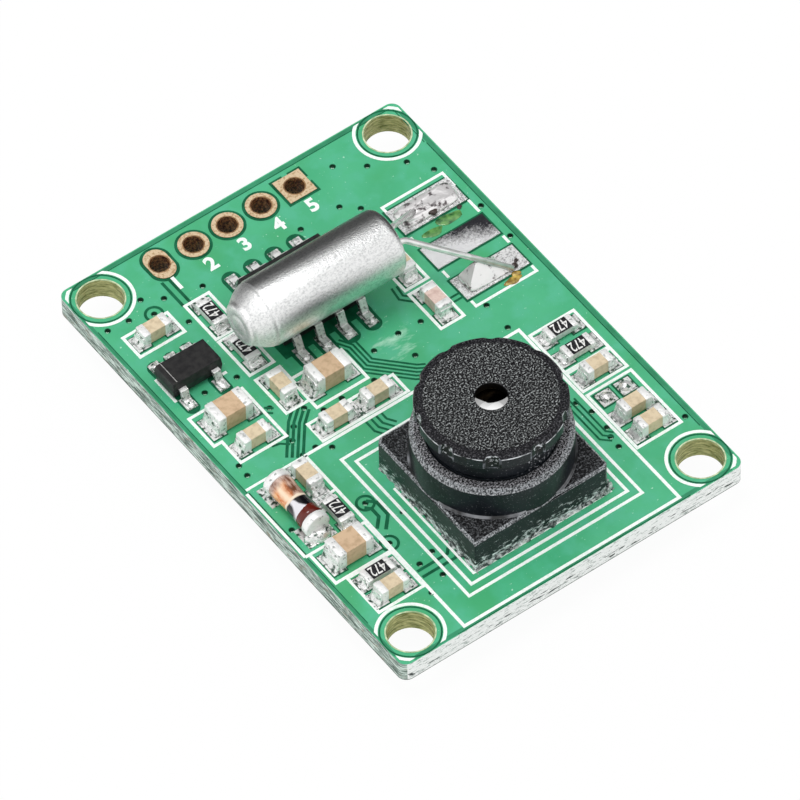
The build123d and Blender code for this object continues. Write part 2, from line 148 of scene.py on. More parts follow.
def ramp(amount, start, end):
    """0 up to start and 1 from end on, with a soft change between."""
    inputs = {"Value": amount, "From Min": start, "From Max": end}
    made = node(amount.material, "ShaderNodeMapRange", inputs, interpolation_type="SMOOTHSTEP")
    return Field(amount.material, made.outputs["Result"])


dome_light = 0.8
studio = bpy.data.worlds.new("studio")
studio.use_nodes = True
scene.world = studio
seen = rays(studio, "Camera") | rays(studio, "Glossy") | rays(studio, "Transmission")
sky = studio.node_tree.nodes["Background"]
sky.inputs["Color"].default_value = (1, 1, 1, 1)
way_x, way_y, way_z = split(studio, node(studio, "ShaderNodeTexCoord").outputs["Generated"])
behind = ramp(backward_of(way_x, way_y), 0.05, 0.4)
high_up = ramp(way_z, 0.66, 0.97)
wall_shade = behind * (1 - high_up) * rays(studio, "Glossy") * 0.96
brightness = (seen * (1 - dome_light) + dome_light) * (1 - wall_shade)
studio.node_tree.links.new(brightness.socket, sky.inputs["Strength"])

# Lamp: one round soft box, high up and a little behind the board. It gives the
# faint shadows beside the parts.
lamp_data = bpy.data.lights.new("soft_box", "AREA")
lamp_data.shape = "DISK"
lamp_data.size = 0.2
lamp_data.energy = 0.9
lamp = bpy.data.objects.new("soft_box", lamp_data)
scene.collection.objects.link(lamp)
lamp_place = Vector((-60, 20, 500)) * mm
lamp.matrix_world = Matrix.Translation(lamp_place) @ lamp_place.to_track_quat("Z", "Y").to_matrix().to_4x4()

# Floor: a white sheet under the board, which keeps its shadow. Its far end looks
# dark in the reflections only, as the wall does.
floor_mesh = bpy.data.meshes.new("floor")
bm = bmesh.new()
bmesh.ops.create_grid(bm, x_segments=1, y_segments=1, size=1.5)
bmesh.ops.translate(bm, verts=bm.verts, vec=(0, 0, cad_size[0][2]))
bm.to_mesh(floor_mesh)
bm.free()
floor = bpy.data.objects.new("floor", floor_mesh)
scene.collection.objects.link(floor)
white_sheet = bpy.data.materials.new("white_sheet")
white_sheet.use_nodes = True
paper = white_sheet.node_tree.nodes["Principled BSDF"]
paper.inputs["Roughness"].default_value = 0.9
sheet_glow = 0.96
seen = rays(white_sheet, "Camera") | rays(white_sheet, "Transmission")
glow = node(white_sheet, "ShaderNodeEmission", {"Color": (1, 1, 1, 1), "Strength": 1.0})
mixed = node(
    white_sheet, "ShaderNodeMixShader", {0: seen * sheet_glow, 1: paper.outputs[0], 2: glow.outputs[0]}
)
floor_place = split(white_sheet, node(white_sheet, "ShaderNodeTexCoord").outputs["Object"])
far_back = backward_of(floor_place[0], floor_place[1]) > 18 * mm
sheet_white = 0.9 - far_back * rays(white_sheet, "Glossy") * 0.87
white_sheet.node_tree.links.new(sheet_white.socket, paper.inputs["Base Color"])
sheet_out = white_sheet.node_tree.nodes["Material Output"]
white_sheet.node_tree.links.new(mixed.outputs[0], sheet_out.inputs["Surface"])
floor_mesh.materials.append(white_sheet)

# Board: glass-fibre laminate 1.2 mm thick, coppered, drilled, and coated on both
# faces with green solder mask. The sawn edges show the glass layers.
board_width = 20.0
board_length = 28.0
board_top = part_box("pcb")[1][2] / mm
mount_hole_x = 8.5
mount_hole_y = 12.5
mount_hole_r = 1.15
mount_holes = [(sx * mount_hole_x, sy * mount_hole_y) for sx in (-1, 1) for sy in (-1, 1)]
drill_margin = 0.02
corner_margin = 0.51
mask_green = (0.052, 0.425, 0.200, 1)
mask_green_pale = (0.068, 0.47, 0.232, 1)


def finish(name, colour, roughness, metallic=0.0, **sockets):
    """A material of one plain shader. Other sockets go by their names in lower case."""
    material = bpy.data.materials.new(name)
    material.use_nodes = True
    shader = material.node_tree.nodes["Principled BSDF"]
    shader.inputs["Base Color"].default_value = colour
    shader.inputs["Roughness"].default_value = roughness
    shader.inputs["Metallic"].default_value = metallic
    for socket, value in sockets.items():
        shader.inputs[socket.replace("_", " ").title().replace("Ior", "IOR")].default_value = value
    return material


def shader_of(material):
    return material.node_tree.nodes["Principled BSDF"]


def where(material, stretch=(1, 1, 1)):
    """Object coordinates in millimetres, stretched where a pattern runs in one direction."""
    place = node(material, "ShaderNodeTexCoord").outputs["Object"]
    scale = [1000 / part for part in stretch]
    return node(material, "ShaderNodeMapping", {"Vector": place, "Scale": scale}).outputs[0]


def axes(material):
    """The place in millimetres as three numbers."""
    return split(material, where(material))


def axes_of_normal(material):
    return split(material, node(material, "ShaderNodeNewGeometry").outputs["Normal"])


def length_of(*parts):
    return sum((part * part for part in parts[1:]), parts[0] * parts[0]).maths("SQRT")


def clouds(material, size, detail=3.0, stretch=(1, 1, 1), crisp=0.5):
    """Noise from 0 to 1 whose patches are about size mm across."""
    inputs = {"Vector": where(material, stretch), "Scale": 1 / size, "Detail": detail, "Roughness": crisp}
    return Field(material, node(material, "ShaderNodeTexNoise", inputs).outputs["Fac"])


def share_of(amount, start, end, low=0.0, high=1.0):
    """A number that goes evenly from low to high as amount goes from start to end."""
    inputs = {"Value": amount, "From Min": start, "From Max": end, "To Min": low, "To Max": high}
    return Field(amount.material, node(amount.material, "ShaderNodeMapRange", inputs).outputs["Result"])


def chosen(switch, plain, other):
    inputs = {0: switch, 6: plain, 7: other}
    return node(switch.material, "ShaderNodeMix", inputs, data_type="RGBA").outputs[2]


def blended(amount, low, high, start=0.35, end=0.65):
    """A colour that goes from low to high as amount goes from start to end."""
    return chosen(share_of(amount, start, end), low, high)


def paint(material, colour):
    material.node_tree.links.new(colour, shader_of(material).inputs["Base Color"])


def feed(amount, socket):
    """Gives a socket of the finish a number that varies."""
    amount.material.node_tree.links.new(amount.socket, shader_of(amount.material).inputs[socket])


def roughen(amount, low, high, start=0.35, end=0.65):
    feed(share_of(amount, start, end, low, high), "Roughness")


def emboss(height, depth, under=None):
    """Bump of that depth in mm, on top of another bump if one is given."""
    inputs = {"Height": height, "Distance": depth * mm, "Strength": 1.0}
    if under is not None:
        inputs["Normal"] = under
    made = node(height.material, "ShaderNodeBump", inputs).outputs[0]
    height.material.node_tree.links.new(made, shader_of(height.material).inputs["Normal"])
    return made


def mottled(
    name, low, high, size, roughness, metallic=0.0, detail=3.0, crisp=0.5, start=0.35, end=0.65, **sockets
):
    """A finish whose colour wanders between two, in patches about size mm across."""
    made = finish(name, high, roughness, metallic, **sockets)
    paint(made, blended(clouds(made, size, detail, crisp=crisp), low, high, start, end))
    return made


solder_mask = finish("solder_mask", mask_green, 0.34, coat_weight=0.25, coat_roughness=0.12)
mask_colour = blended(clouds(solder_mask, 2.4), mask_green, mask_green_pale)
bluish = clouds(solder_mask, 1.1, detail=4.0)
mask_colour = blended(bluish, mask_colour, (0.077, 0.475, 0.268, 1), 0.46, 0.66)
yellowish = clouds(solder_mask, 2.6, detail=2.0, crisp=0.4)
mask_colour = blended(yellowish, (0.054, 0.415, 0.172, 1), mask_colour, 0.3, 0.46)
dust = clouds(solder_mask, 0.16, detail=2.0)
mask_colour = blended(dust, mask_colour, (0.45, 0.78, 0.60, 1), 0.715, 0.78)
across, along, height = axes(solder_mask)
to_smear = length_of(across - 1.1, along - 1.7, height - 1.2)
smear = clouds(solder_mask, 0.5, detail=4.0, stretch=(3.0, 1.0, 1), crisp=0.65) - to_smear * 0.14
mask_colour = blended(smear, mask_colour, (0.42, 0.74, 0.56, 1), 0.4, 0.62)

glass_layers = clouds(solder_mask, 0.13, stretch=(2.6, 2.6, 0.6), crisp=0.7)
front_wall = blended(glass_layers, (0.30, 0.36, 0.33, 1), (0.90, 0.93, 0.91, 1), 0.34, 0.47)
low_half = abs(height - 0.38) < 0.22
dashes = clouds(solder_mask, 0.42, detail=1.0, stretch=(1.5, 1.5, 0.3)) * low_half
front_wall = blended(dashes, front_wall, (0.03, 0.045, 0.04, 1), 0.6, 0.66)
strands = clouds(solder_mask, 0.16, detail=4.0, stretch=(5, 5, 0.55), crisp=0.65)
left_wall = blended(strands, (0.045, 0.095, 0.07, 1), (0.64, 0.77, 0.70, 1), 0.42, 0.6)
chips = clouds(solder_mask, 0.3, stretch=(2.0, 2.0, 0.7))
left_wall = blended(chips, left_wall, (0.26, 0.24, 0.18, 1), 0.6, 0.7)
facing = axes_of_normal(solder_mask)
wall = chosen(facing[0] < -0.5, front_wall, left_wall)
wall = chosen(height < 0.05, wall, (0.09, 0.12, 0.10, 1))

from_middle_x = abs(across)
from_middle_y = abs(along)
inside_x = from_middle_x < board_width / 2 - drill_margin
inside_y = from_middle_y < board_length / 2 - drill_margin
off_corner_x = from_middle_x < board_width / 2 - corner_margin
off_corner_y = from_middle_y < board_length / 2 - corner_margin
in_drill = inside_x * inside_y * (off_corner_x | off_corner_y)
# Walls of the small drilled holes are painted near-black green, as painted shade down the holes.
wall = chosen(in_drill, wall, (0.012, 0.055, 0.028, 1))
layer_lines = clouds(solder_mask, 0.22, detail=4.0, stretch=(2.5, 2.5, 0.5), crisp=0.65)
olive = blended(layer_lines, (0.16, 0.19, 0.035, 1), (0.66, 0.64, 0.30, 1), 0.36, 0.62)
to_hole = length_of(from_middle_x - mount_hole_x, from_middle_y - mount_hole_y)
wall = chosen(to_hole < mount_hole_r + 0.05, wall, olive)
on_side = abs(facing[2]) < 0.5
paint(solder_mask, chosen(on_side, mask_colour, wall))
roughen(on_side, 0.34, 0.75, 0.0, 1.0)
fine = emboss(clouds(solder_mask, 0.35, detail=4.0), 0.006)
emboss(clouds(solder_mask, 3.5, detail=1.0), 0.05, fine)


def wear(name, material):
    """The finish on a CAD node that stays as it is."""
    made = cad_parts[name]
    made.data.materials.clear()
    made.data.materials.append(material)


wear("pcb", solder_mask)

# Ground without copper: where the etched copper is gone, the mask lies on bare
# laminate and looks darker. Thin lines of it run round pads and beside tracks.
# The same finish also paints shade: a patch under the memory chip, and thin
# rings at the vias.
laminate_ground_and_shade = mottled(
    "laminate_ground_and_shade", (0.004, 0.095, 0.040, 1), (0.009, 0.150, 0.068, 1), 0.6, 0.4,
    specular_ior_level=0.15,
)
emboss(clouds(laminate_ground_and_shade, 0.3), 0.005)
film = 0.006


def band(bm, route, width, aside=0.0, closed=False):
    """A flat band of x, y points in mm with mitred corners, moved aside to its left."""
    spine = [bm.verts.new((x, y, 0)) for x, y in route]
    pairs = list(zip(spine, spine[1:]))
    if closed:
        pairs.append((spine[-1], spine[0]))
    edges = [bm.edges.new(pair) for pair in pairs]
    bmesh.ops.extrude_edge_only(bm, edges=edges)
    ways = [(b.co - a.co).normalized() for a, b in pairs]
    for i, vert in enumerate(spine):
        if closed:
            before, after = ways[i - 1], ways[i]
        else:
            before, after = ways[max(i - 1, 0)], ways[min(i, len(ways) - 1)]
        left = Vector((-before.y - after.y, before.x + after.x, 0))
        left /= 1 + before.dot(after)
        twin = next(edge.other_vert(vert) for edge in vert.link_edges if edge not in edges)
        twin.co = vert.co + left * (aside + width / 2)
        vert.co = vert.co + left * (aside - width / 2)


def ring(bm, x, y, inner, outer, segments=40):
    """A flat ring. Its corners are returned."""
    made = bmesh.ops.create_circle(bm, segments=segments, radius=inner)["verts"]
    edges = list(dict.fromkeys(edge for vert in made for edge in vert.link_edges))
    grown = bmesh.ops.extrude_edge_only(bm, edges=edges)["geom"]
    rim = [part for part in grown if isinstance(part, bmesh.types.BMVert)]
    bmesh.ops.scale(bm, verts=rim, vec=(outer / inner, outer / inner, 1))
    bmesh.ops.translate(bm, verts=made + rim, vec=(x, y, 0))
    return made + rim


def disc(bm, x, y, radius, segments=28):
    made = bmesh.ops.create_circle(bm, segments=segments, radius=radius, cap_ends=True)["verts"]
    bmesh.ops.translate(bm, verts=made, vec=(x, y, 0))


def plate(bm, x_low, y_low, x_high, y_high):
    made = bmesh.ops.create_grid(bm, x_segments=1, y_segments=1, size=0.5)["verts"]
    bmesh.ops.scale(bm, verts=made, vec=(x_high - x_low, y_high - y_low, 1))
    bmesh.ops.translate(bm, verts=made, vec=((x_low + x_high) / 2, (y_low + y_high) / 2, 0))


def frame_line(bm, x_low, y_low, x_high, y_high, width):
    corners = [(x_low, y_low), (x_high, y_low), (x_high, y_high), (x_low, y_high)]
    band(bm, corners, width, closed=True)


def slot_shape(bm, x, y, width, length):
    """A plate with round ends, length along Y."""
    half = (length - width) / 2
    made = bmesh.ops.create_circle(bm, segments=24, radius=width / 2, cap_ends=True)["verts"]
    for vert in made:
        vert.co.y += math.copysign(half, vert.co.y)
    bmesh.ops.translate(bm, verts=made, vec=(x, y, 0))


def cut_off(bm, place, way):
    """Cuts away what lies past a plane, on the side that it faces."""
    geometry = bm.verts[:] + bm.edges[:] + bm.faces[:]
    bmesh.ops.bisect_plane(bm, geom=geometry, plane_co=place, plane_no=way, clear_outer=True)


def trimmed(bm, x_limit, y_limit):
    """Cuts away what passes the limits either side of the middle."""
    for sign in (1, -1):
        cut_off(bm, (sign * x_limit, 0, 0), (sign, 0, 0))
    for sign in (1, -1):
        cut_off(bm, (0, sign * y_limit, 0), (0, sign, 0))


def placed(name, bm, material, replaces=None, body="board", smooth=False):
    """A finished piece: mesh in millimetres made an object in metres, with finish and body."""
    bmesh.ops.scale(bm, verts=bm.verts, vec=(mm, mm, mm))
    mesh = bpy.data.meshes.new(name)
    bm.to_mesh(mesh)
    bm.free()
    for polygon in mesh.polygons:
        polygon.use_smooth = smooth
    mesh.materials.append(material)
    made = bpy.data.objects.new(name, mesh)
    scene.collection.objects.link(made)
    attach(made, body)
    if replaces:
        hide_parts(replaces)


def film_piece(name, bm, material, height, thickness=film):
    """Flat shapes given a thickness and laid on the board's top. Each lies at a
    slightly different height, so that none coincide where they cross."""
    found = set()
    layer = 0
    for start in bm.verts:
        if start in found:
            continue
        found.add(start)
        shape = [start]
        for vert in shape:
            vert.co.z = layer % 9 * 0.0007
            for edge in vert.link_edges:
                other = edge.other_vert(vert)
                if other not in found:
                    found.add(other)
                    shape.append(other)
        layer += 1
    for face in bm.faces:
        face.normal_update()
        if face.normal.z < 0:
            face.normal_flip()
    bmesh.ops.solidify(bm, geom=bm.faces[:], thickness=thickness)
    low = min(vert.co.z for vert in bm.verts)
    bmesh.ops.translate(bm, verts=bm.verts, vec=(0, 0, height - low))
    bmesh.ops.recalc_face_normals(bm, faces=bm.faces)
    placed(name, bm, material)


edge_ground = mottled("mask_at_the_edge", (0.016, 0.22, 0.10, 1), (0.030, 0.30, 0.145, 1), 1.1, 0.4)
edge_strips = bmesh.new()
for route, width in (
    ([(-9.3, 13.83), (9.3, 13.83)], 0.22), ([(9.82, 13.2), (9.82, -13.2)], 0.24),
    ([(-9.88, 13.2), (-9.88, -13.2)], 0.16), ([(-9.3, -13.84), (9.3, -13.84)], 0.22),
):
    band(edge_strips, route, width)
film_piece("mask_over_board_edge", edge_strips, edge_ground, board_top + 0.0005, 0.004)

bare_ground = bmesh.new()
for route in (
    [(-9.3, 13.7), (9.62, 13.7), (9.62, 11.0)], [(9.68, 10.9), (9.68, -10.9)],
    [(-9.79, 10.9), (-9.79, -10.9)], [(-6.8, -13.95), (6.8, -13.95)],
):
    band(bare_ground, route, 0.045)
for x, y in mount_holes:
    ring(bare_ground, x, y, 1.42, 1.5)
header_y = 12.53
header_xs = [-5.02, -3.02, -1.02, 0.98, 2.98]
for x in header_xs[1:4]:
    ring(bare_ground, x, header_y, 0.76, 0.93)
square_x, half = header_xs[4], 0.83
spoke = 0.16
for route in (
    [(half, spoke), (half, half), (spoke, half)],
    [(-spoke, half), (-half, half), (-half, -half), (half, -half), (half, -spoke)],
):
    band(bare_ground, [(square_x + dx, header_y + dy) for dx, dy in route], 0.17)
for vert in ring(bare_ground, 0, 0, 0.62, 0.79, 32):
    vert.co += Vector((header_xs[0], header_y + math.copysign(0.325, vert.co.y), 0))
trimmed(bare_ground, 9.98, 13.98)
film_piece("ground_round_holes", bare_ground, laminate_ground_and_shade, board_top + 0.001)

chip_rows = [-2.805, -1.535, -0.265, 1.005]
regulator_back = [-8.85, -7.9, -6.95]
regulator_front = [-8.85, -6.95]
ground_and_shadow_by_chips = bmesh.new()
for x in chip_rows:
    slot_shape(ground_and_shadow_by_chips, x, 9.25, 0.95, 1.9)
    slot_shape(ground_and_shadow_by_chips, x, 3.95, 0.95, 1.9)
# This plate is a painted shadow under the memory chip's front edge and the crystal can.
plate(ground_and_shadow_by_chips, -3.6, 4.15, 1.5, 5.4)
for x in regulator_back:
    slot_shape(ground_and_shadow_by_chips, x, 7.3, 0.85, 1.2)
for x in regulator_front:
    slot_shape(ground_and_shadow_by_chips, x, 4.85, 0.8, 1.5)
film_piece("ground_and_shadow_round_chip_pads", ground_and_shadow_by_chips, laminate_ground_and_shade, board_top + 0.001)

track_gaps = bmesh.new()
for route, count, step, width in (
    ([(-5.4, 11.55), (-5.4, 9.75)], 2, 0.4, 0.16),
    ([(-1.1, 3.5), (-0.75, 2.9), (-0.75, 1.55), (0.9, -0.2), (1.3, -0.45)], 5, 0.22, 0.11),
    ([(-4.75, 1.35), (-5.1, 1.05), (-5.45, 0.75), (-6.75, -0.9)], 4, 0.26, 0.15),
    ([(-6.35, 0.0), (-6.75, 0.35), (-7.2, 0.45)], 2, 0.3, 0.12),
    ([(-2.35, -1.2), (-2.35, -1.75), (-2.0, -2.3)], 4, 0.3, 0.12),
    ([(-6.15, -10.05), (-4.3, -10.05), (-4.0, -9.7)], 2, 0.42, 0.16),
    ([(-5.75, -5.15), (-5.45, -5.45), (-5.45, -6.2), (-6.0, -6.8)], 2, 0.42, 0.18),
    ([(-6.25, 2.3), (-5.9, 2.0)], 2, 0.3, 0.12),
    ([(5.65, -6.0), (5.65, -8.6), (6.0, -8.95)], 3, 0.26, 0.1),
    ([(5.15, -6.2), (5.4, -6.45)], 2, 0.3, 0.12),
    ([(-9.75, -1.3), (-9.75, -6.0)], 1, 0.24, 0.12),
    ([(3.1, 4.6), (3.0, 3.9), (3.45, 3.4)], 2, 0.28, 0.12),
    ([(4.85, 2.3), (5.4, 2.3)], 2, 0.3, 0.12),
):
    for i in range(count):
        band(track_gaps, route, width, (i - (count - 1) / 2) * step)
film_piece("ground_beside_tracks", track_gaps, laminate_ground_and_shade, board_top + 0.0025)

# Printed lines: white epoxy ink screened on the mask, a little ragged. They box
# in each part, the lens holder and the corner holes.
print_ink = mottled(
    "print_ink", (0.74, 0.92, 0.82, 1), (0.96, 1.0, 0.97, 1), 0.16, 0.55, detail=5.0, start=0.3, end=0.5
)
emboss(clouds(print_ink, 0.08), 0.006)
ink = 0.018
line = 0.16
part_boxes = [
    (-9.05, 8.45, -6.45, 9.9), (-5.55, 7.15, -4.15, 9.7), (-5.55, 4.4, -4.15, 6.95),
    (-5.5, 1.5, -4.1, 4.0), (-4.15, 0.9, -1.15, 3.05), (-5.1, -0.9, -2.7, 0.35),
    (-2.65, -0.9, -0.1, 0.35),
    (3.4, 4.1, 4.75, 7.0), (3.4, 1.2, 4.75, 3.8), (-9.6, -8.1, -6.4, -6.0),
    (-9.0, -10.7, -6.4, -8.2), (6.5, -4.5, 9.1, -1.7), (6.5, -5.95, 9.1, -4.62), (6.5, -10.2, 9.1, -6.25),
]
part_outlines = bmesh.new()
for corners in part_boxes:
    frame_line(part_outlines, *corners, line)
band(
    part_outlines,
    [(-9.4, 4.0), (-9.4, 1.95), (-8.95, 1.95), (-8.95, 0.4), (-6.3, 0.4), (-6.3, 4.0)],
    line, closed=True,
)
film_piece("printed_part_outlines", part_outlines, print_ink, board_top, ink)

board_lines = bmesh.new()
for route, width in (
    ([(-6.35, -1.1), (6.3, -1.1), (6.3, -13.75), (-6.3, -13.75), (-6.3, -1.1)], 0.17),
    ([(-9.75, -1.1), (-6.4, -1.1)], 0.14), ([(-9.85, -1.3), (-9.85, -6.0)], 0.16),
    ([(-9.85, -6.0), (-9.3, -6.0)], 0.16), ([(-7.55, -3.6), (-6.4, -3.6)], 0.15),
):
    band(board_lines, route, width)
for half in (5.07, 4.57):
    frame_line(board_lines, -half, -7.4 - half, half, -7.4 + half, line)
for route, width in (
    ([(-4.1, -5.2), (-4.1, -11.5), (4.0, -11.5)], 0.13),
    ([(-9.28, 5.2), (-9.28, 6.9)], 0.16), ([(-6.55, 5.25), (-6.3, 5.25)], 0.16),
    ([(5.55, 7.9), (5.55, 8.9), (9.15, 8.9), (9.15, 7.9)], 0.15),
    ([(5.55, 6.6), (5.55, 5.9)], 0.15), ([(9.15, 6.8), (9.15, 5.9)], 0.15),
    ([(5.55, 4.0), (5.55, 3.5)], 0.15), ([(9.15, 4.0), (9.15, 3.5)], 0.15),
    ([(5.55, 1.7), (5.55, 1.3), (9.15, 1.3), (9.15, 1.7)], 0.15),
):
    band(board_lines, route, width)
film_piece("printed_board_lines", board_lines, print_ink, board_top + 0.0005, ink)

hole_rings = bmesh.new()
for x, y in mount_holes:
    ring(hole_rings, x, y, 1.54, 1.71, 56)
trimmed(hole_rings, 9.88, 13.86)
film_piece("printed_hole_rings", hole_rings, print_ink, board_top + 0.001, ink)

# Hole rims: the drill frays the mask and the glass cloth round each corner hole,
# which leaves a thin pale rim.
pale_rim = mottled("pale_rim", (0.30, 0.42, 0.22, 1), (0.70, 0.76, 0.5, 1), 0.3, 0.5)
hole_rims = bmesh.new()
for x, y in mount_holes:
    ring(hole_rims, x, y, mount_hole_r + 0.005, mount_hole_r + 0.075, 56)
film_piece("hole_rims", hole_rims, pale_rim, board_top + 0.0005, 0.01)

# Pin numbers: plain numbers under the header holes, screened in the same pass as
# the lines, with the same white ink.
def printed_text(
    name, text, x, y, height, width, material, top, thick=0.02, weight=0.02, turn=0.0
):
    """Plain numbers as a thin closed mesh, centred on x, y."""
    curve = bpy.data.curves.new(name, "FONT")
    curve.body = text
    curve.offset = weight
    curve.extrude = 0.5
    draft = bpy.data.objects.new(name + "_draft", curve)
    scene.collection.objects.link(draft)
    depsgraph = bpy.context.evaluated_depsgraph_get()
    mesh = bpy.data.meshes.new_from_object(draft.evaluated_get(depsgraph))
    bpy.data.objects.remove(draft)
    bm = bmesh.new()
    bm.from_mesh(mesh)
    bmesh.ops.remove_doubles(bm, verts=bm.verts, dist=1e-5)
    low = [min(vert.co[i] for vert in bm.verts) for i in range(3)]
    high = [max(vert.co[i] for vert in bm.verts) for i in range(3)]
    middle = Vector([(a + b) / 2 for a, b in zip(low, high)])
    bmesh.ops.translate(bm, verts=bm.verts, vec=-middle)
    tall = height / (high[1] - low[1])
    scale = (min(width / (high[0] - low[0]), tall), tall, thick / (high[2] - low[2]))
    bmesh.ops.scale(bm, verts=bm.verts, vec=scale)
    bmesh.ops.rotate(bm, verts=bm.verts, matrix=Matrix.Rotation(math.radians(turn), 3, "Z"))
    bmesh.ops.translate(bm, verts=bm.verts, vec=(x, y, top + thick / 2))
    bmesh.ops.recalc_face_normals(bm, faces=bm.faces)
    placed(name, bm, material)


for i, x in enumerate(header_xs):
    printed_text(f"pin_number_{i + 1}", str(i + 1), x, 11.1, 0.85, 0.7, print_ink, board_top, weight=0.035)

# Vias: drilled holes of 0.3 mm that join the two faces, each with a small copper
# land under the mask. Three have a wider ring of bare ground.
via_places = [
    (-9.37, 10.7), (-8.2, 10.6), (-7.02, 11.3), (-6.07, 10.7), (-7.0, 10.2),
    (-5.95, 8.82), (-4.15, 10.2), (-7.87, 4.85), (-6.1, 4.7), (5.17, 12.43),
    (6.52, 11.45), (8.2, 10.5), (3.95, 10.2), (1.65, 10.2), (4.72, 9.5),
    (8.97, 9.33), (9.43, 6.15), (9.43, 3.8), (5.98, 1.05), (0.05, 2.05),
    (1.6, 2.22), (2.88, 2.15), (1.45, 0.65), (5.97, -0.65), (-9.15, 0.3),
    (-9.17, -0.4), (-6.25, 0.0), (-5.7, 0.65), (-5.95, 2.25), (-4.65, 1.25),
    (-6.35, -1.0), (-5.6, -0.98), (-4.97, -1.45), (-3.97, 0.6), (-2.87, 0.65),
    (-1.0, 0.6), (-9.4, -4.3), (-5.7, -5.1), (-4.6, -6.6), (-6.2, -7.7),
    (-5.8, -9.55), (-4.9, -9.3), (-5.3, -10.7), (-6.35, -11.25), (5.8, -6.3),
    (6.1, -7.15), (6.1, -8.35), (5.9, -8.9), (5.85, -9.6), (9.45, -10.05),
]
via_shades_and_grounds = bmesh.new()
# The thin dark ring at each via's edge is painted shade of the mask's dimple there; the three wider rings
# are bare ground.
for x, y in via_places:
    ring(via_shades_and_grounds, x, y, 0.13, 0.165, 12)
for x, y in ((-7.0, 10.2), (-5.7, -5.1), (-6.2, -7.7)):
    ring(via_shades_and_grounds, x, y, 0.36, 0.5, 24)
film_piece("via_shade_and_ground_rings", via_shades_and_grounds, laminate_ground_and_shade, board_top + 0.004)
# A near-black disc a little way down each via is painted shade inside the hole.
via_hole_shades = bmesh.new()
for x, y in via_places:
    disc(via_hole_shades, x, y, 0.139, 8)
painted_via_shade = mottled(
    "painted_via_shade", (0.001, 0.006, 0.003, 1), (0.008, 0.04, 0.02, 1), 0.2, 0.5, specular_ior_level=0.1
)
film_piece("via_hole_shades", via_hole_shades, painted_via_shade, board_top - 0.05, 0.01)
# A pale crescent on each via's rim, on the side towards the front, is a painted highlight.
via_highlight = mottled("via_highlight", (0.10, 0.34, 0.18, 1), (0.50, 0.78, 0.60, 1), 0.15, 0.35, 0.2)
via_crescents = bmesh.new()
for x, y in via_places:
    turned_by = 3.4 + (x * 37 + y * 61) % 0.5
    angles = [turned_by + step * 0.3 for step in range(5)]
    band(via_crescents, [(x + 0.13 * math.cos(a), y + 0.13 * math.sin(a)) for a in angles], 0.055)
film_piece("via_crescents", via_crescents, via_highlight, board_top + 0.006, 0.008)

# Header pads: copper, gold-plated, one round each drilled hole and on through it.
# The first is oblong and the last square, to show which way the plug goes.
plated_gold = finish("plated_gold", (0.8, 0.6, 0.38, 1), 0.4, 0.15)
gold_wear = clouds(plated_gold, 0.12, detail=5.0)
gold_face = blended(gold_wear, (0.46, 0.29, 0.14, 1), (0.74, 0.57, 0.37, 1), 0.34, 0.52)
# Down the bores the gold is painted dark brown, as painted shade in the holes, with lighter flecks as
# painted lit spots.
bore_specks = clouds(plated_gold, 0.14, detail=5.0, crisp=0.7)
shaded_bore = blended(bore_specks, (0.05, 0.010, 0.003, 1), (0.62, 0.30, 0.12, 1), 0.44, 0.68)
on_wall = abs(axes_of_normal(plated_gold)[2]) < 0.5
paint(plated_gold, chosen(on_wall, gold_face, shaded_bore))
emboss(clouds(plated_gold, 0.1), 0.012)
wear("header_pads", plated_gold)
bore_edge = mottled("bore_edge", (0.16, 0.07, 0.025, 1), (0.48, 0.28, 0.13, 1), 0.15, 0.4, 0.3)
bore_rims = bmesh.new()
for x in header_xs:
    ring(bore_rims, x, header_y, 0.502, 0.56, 40)
film_piece("bore_rims", bore_rims, bore_edge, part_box("header_pads")[1][2] / mm - 0.002, 0.006)

# Lands: etched copper pads, tinned by the solder paste, so they are bright with
# darker pits. The three long ones beside the crystal are for hand-made joints.
tinned_pad = finish("tinned_pad", (0.8, 0.8, 0.78, 1), 0.3, 0.5)
pits = clouds(tinned_pad, 0.2, detail=2.5)
paint(tinned_pad, blended(pits, (0.05, 0.10, 0.07, 1), (0.88, 0.88, 0.87, 1), 0.38, 0.5))
roughen(clouds(tinned_pad, 0.3), 0.22, 0.5)
emboss(pits, 0.03)
wear("component_lands", tinned_pad)

rough_tin = finish("rough_tin", (0.85, 0.85, 0.86, 1), 0.32, 0.5)
tin_grain = clouds(rough_tin, 0.1, detail=6.0, crisp=0.75)
across, along = axes(rough_tin)[:2]
# The long pads are painted darker towards the back and the right, all but the middle one, which stays
# bright.
back_right_darkening = along * 1.3 - 6.25 + clouds(rough_tin, 0.9, detail=2.0) * 0.9
back_right_darkening = back_right_darkening + tin_grain * 3.4 + (across - 7.2) * 0.55
dull = blended(back_right_darkening, (0.86, 0.86, 0.87, 1), (0.022, 0.022, 0.028, 1), 2.1, 3.4)
on_middle_pad = (along < 5.8) * (along > 4.0)
bright_tin = blended(tin_grain, (0.3, 0.3, 0.3, 1), (0.9, 0.9, 0.9, 1), 0.4, 0.5)
paint(rough_tin, chosen(on_middle_pad, bright_tin, dull))
emboss(tin_grain, 0.035)
wear("crystal_pads", rough_tin)

# Ground round the lands: the mask stops a little short of each land's copper, so
# a dark line shows round it.
land_gap = 0.13
under_part = 0.32
solder_reach = 0.4
land_aside = 0.11
end_lands = bmesh.new()


def box_of(name):
    """A node's low and high corner in millimetres, and the axis that it lies along."""
    low, high = [Vector(corner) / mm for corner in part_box(name)]
    return low, high, 0 if high.x - low.x > high.y - low.y else 1


